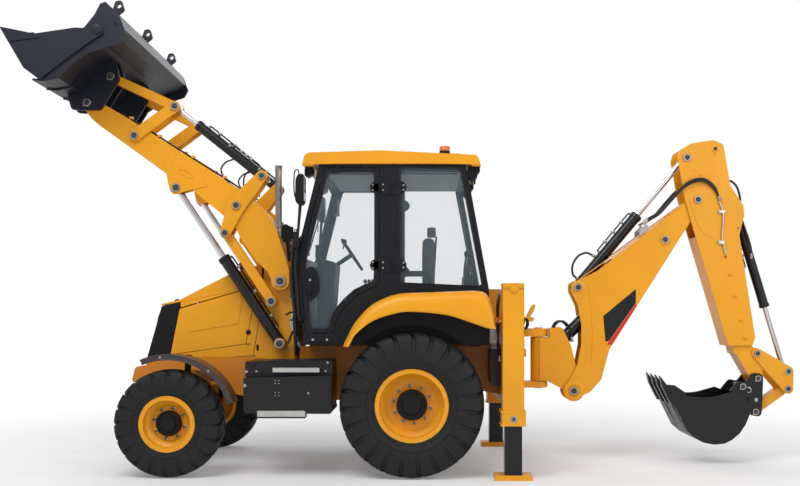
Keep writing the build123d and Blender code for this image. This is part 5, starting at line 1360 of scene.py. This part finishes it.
for y in (-880, 0, 880):
    x, z = ahead_of_bucket(485, 766)
    hooks.turn([(30, -18), (30, 18), (21, 18), (21, -18), (30, -18)], (x, y, z), "Y", 24)
hooks.place("hook_rings", IRON, "loader_bucket")

teeth, lip = Form(), Form()
for i in range(4):
    y = (i - 1.5) * 183
    teeth.prism([(-2408, 869), (-2430, 770), (-2500, 628), (-2518, 636), (-2470, 740), (-2462, 790)], y - 33,
        y + 33)
    lip.prism([(-2486, 660), (-2522, 588), (-2552, 600), (-2512, 684)], y - 37, y + 37)
    lip.turn([(9, -40), (9, 40), (0, 40)], (-2520, y, 636), "Y", 12)
teeth.place("dig_teeth", DIGGER, "digging_bucket", bevel=3)
lip.place("dig_adapters", DIGGER, "digging_bucket", bevel=3)
wear = Form()
for low, high in ((-240, -60), (60, 240)):
    wear.prism([(-2512, 640), (-2676, 330), (-2764, 256), (-2848, 214), (-2946, 197), (-2946, 200),
        (-2846, 217), (-2761, 259), (-2675, 332), (-2517, 649)], low, high)
wear.place("dig_wear_strips", LIP, "digging_bucket", bevel=1)
sides = Form()
for _ in sides_of(sides):
    sides.prism([(-2460, 782), (-2524, 652), (-2600, 660), (-2640, 700), (-2556, 772)], 305, 313)
    for x, z in ((-2520, 720), (-2590, 700)):
        sides.bolt((x, 313, z), OUT, 10)
    sides.tube([(-2655, 306, 668), (-2797, 306, 654), (-2919, 306, 660), (-3017, 306, 684),
        (-3130, 306, 716)], 6, 8)
sides.place("dig_side_cutters", DIGGER, "digging_bucket", bevel=2)
hitch = Form()
for _ in sides_of(hitch):
    hitch.turn([(20, -2), (20, 8), (15, 11), (0, 11)], (-3405, 131, 620), OUT, 20)
    hitch.turn([(30, -2), (30, 7), (22, 10), (20, 10)], (-3330, 131, 720), OUT, 24)
hitch.place("hitch_pins", STEEL, "digging_bucket", bevel=1)


# ---- floor, light and camera -------------------------------------------------------------------
def studio():
    """A pale floor that runs out to white, and soft light."""
    material, tree, shader = new_material("floor_white", Roughness=0.9, Specular_IOR_Level=0.05)
    place = place_of(tree)
    spread = add(tree, "ShaderNodeVectorMath", operation="LENGTH")
    tree.links.new(place, spread.inputs[0])
    tone = mixed(tree, ramp(tree, noise(tree, place, 3.0, 3.0), 0.3, 0.7), (0.80, 0.80, 0.80),
        (0.84, 0.84, 0.84))
    tree.links.new(tone, shader.inputs["Base Color"])
    glow = add(tree, "ShaderNodeEmission")
    glow.inputs["Strength"].default_value = 1.0
    paths = add(tree, "ShaderNodeLightPath")
    direct = times(tree, times(tree, paths.outputs["Is Camera Ray"], paths.outputs["Is Transmission Ray"],
        "MAXIMUM"), paths.outputs["Is Glossy Ray"], "MAXIMUM")
    far = times(tree, ramp(tree, spread.outputs["Value"], 2.8, 7.0, 0.16, 1.0), direct)
    blend = add(tree, "ShaderNodeMixShader")
    tree.links.new(far, blend.inputs[0])
    tree.links.new(shader.outputs[0], blend.inputs[1])
    tree.links.new(glow.outputs[0], blend.inputs[2])
    tree.links.new(blend.outputs[0], tree.nodes["Material Output"].inputs["Surface"])
    bpy.ops.mesh.primitive_plane_add(size=120.0)
    floor = bpy.context.object
    floor.name = "floor"
    floor.data.materials.append(material)

    world = bpy.data.worlds.new("studio")
    scene.world = world
    world.use_nodes = True
    tree = world.node_tree
    soft = tree.nodes["Background"]
    soft.inputs["Color"].default_value = (0.95, 0.97, 1.0, 1.0)
    soft.inputs["Strength"].default_value = 0.58
    seen = add(tree, "ShaderNodeBackground")
    seen.inputs["Color"].default_value = (1.0, 1.0, 1.0, 1.0)
    paths = add(tree, "ShaderNodeLightPath")
    either = times(tree, paths.outputs["Is Camera Ray"], paths.outputs["Is Transmission Ray"], "MAXIMUM")
    mix = add(tree, "ShaderNodeMixShader")
    tree.links.new(either, mix.inputs[0])
    tree.links.new(soft.outputs[0], mix.inputs[1])
    tree.links.new(seen.outputs[0], mix.inputs[2])
    tree.links.new(mix.outputs[0], tree.nodes["World Output"].inputs["Surface"])

    for name, place, size, power in (("key_light", (3.5, 7.0, 10.5), 6.0, 700.0),
            ("fill_light", (-7.0, 7.0, 5.0), 6.0, 240.0), ("back_light", (0.0, -9.0, 8.0), 7.0, 320.0)):
        lamp = bpy.data.lights.new(name, "AREA")
        lamp.size = size
        lamp.energy = power
        holder = bpy.data.objects.new(name, lamp)
        holder.location = place
        holder.rotation_euler = (Vector((0, 0, 1.2)) - Vector(place)).to_track_quat("-Z", "Y").to_euler()
        scene.collection.objects.link(holder)


CAMERA_BEHIND_AXLE = 0.145
CAMERA_AWAY = 9.5
CAMERA_HEIGHT = 1.505
CAMERA_LENS = 42.4
CAMERA_SHIFT = (-0.035, 0.085)


def aim_camera():
    """The photograph's long, level side view, shifted as the photograph is framed."""
    lens = bpy.data.cameras.new("camera")
    lens.lens = CAMERA_LENS
    lens.sensor_width = 36.0
    lens.shift_x, lens.shift_y = CAMERA_SHIFT
    lens.clip_end = 200.0
    holder = bpy.data.objects.new("camera", lens)
    holder.location = (AXLE_X - CAMERA_BEHIND_AXLE, CAMERA_AWAY, CAMERA_HEIGHT)
    holder.rotation_euler = (radians(90), 0, radians(180))
    scene.collection.objects.link(holder)
    scene.camera = holder


studio()
aim_camera()
scene.view_settings.view_transform = "Standard"
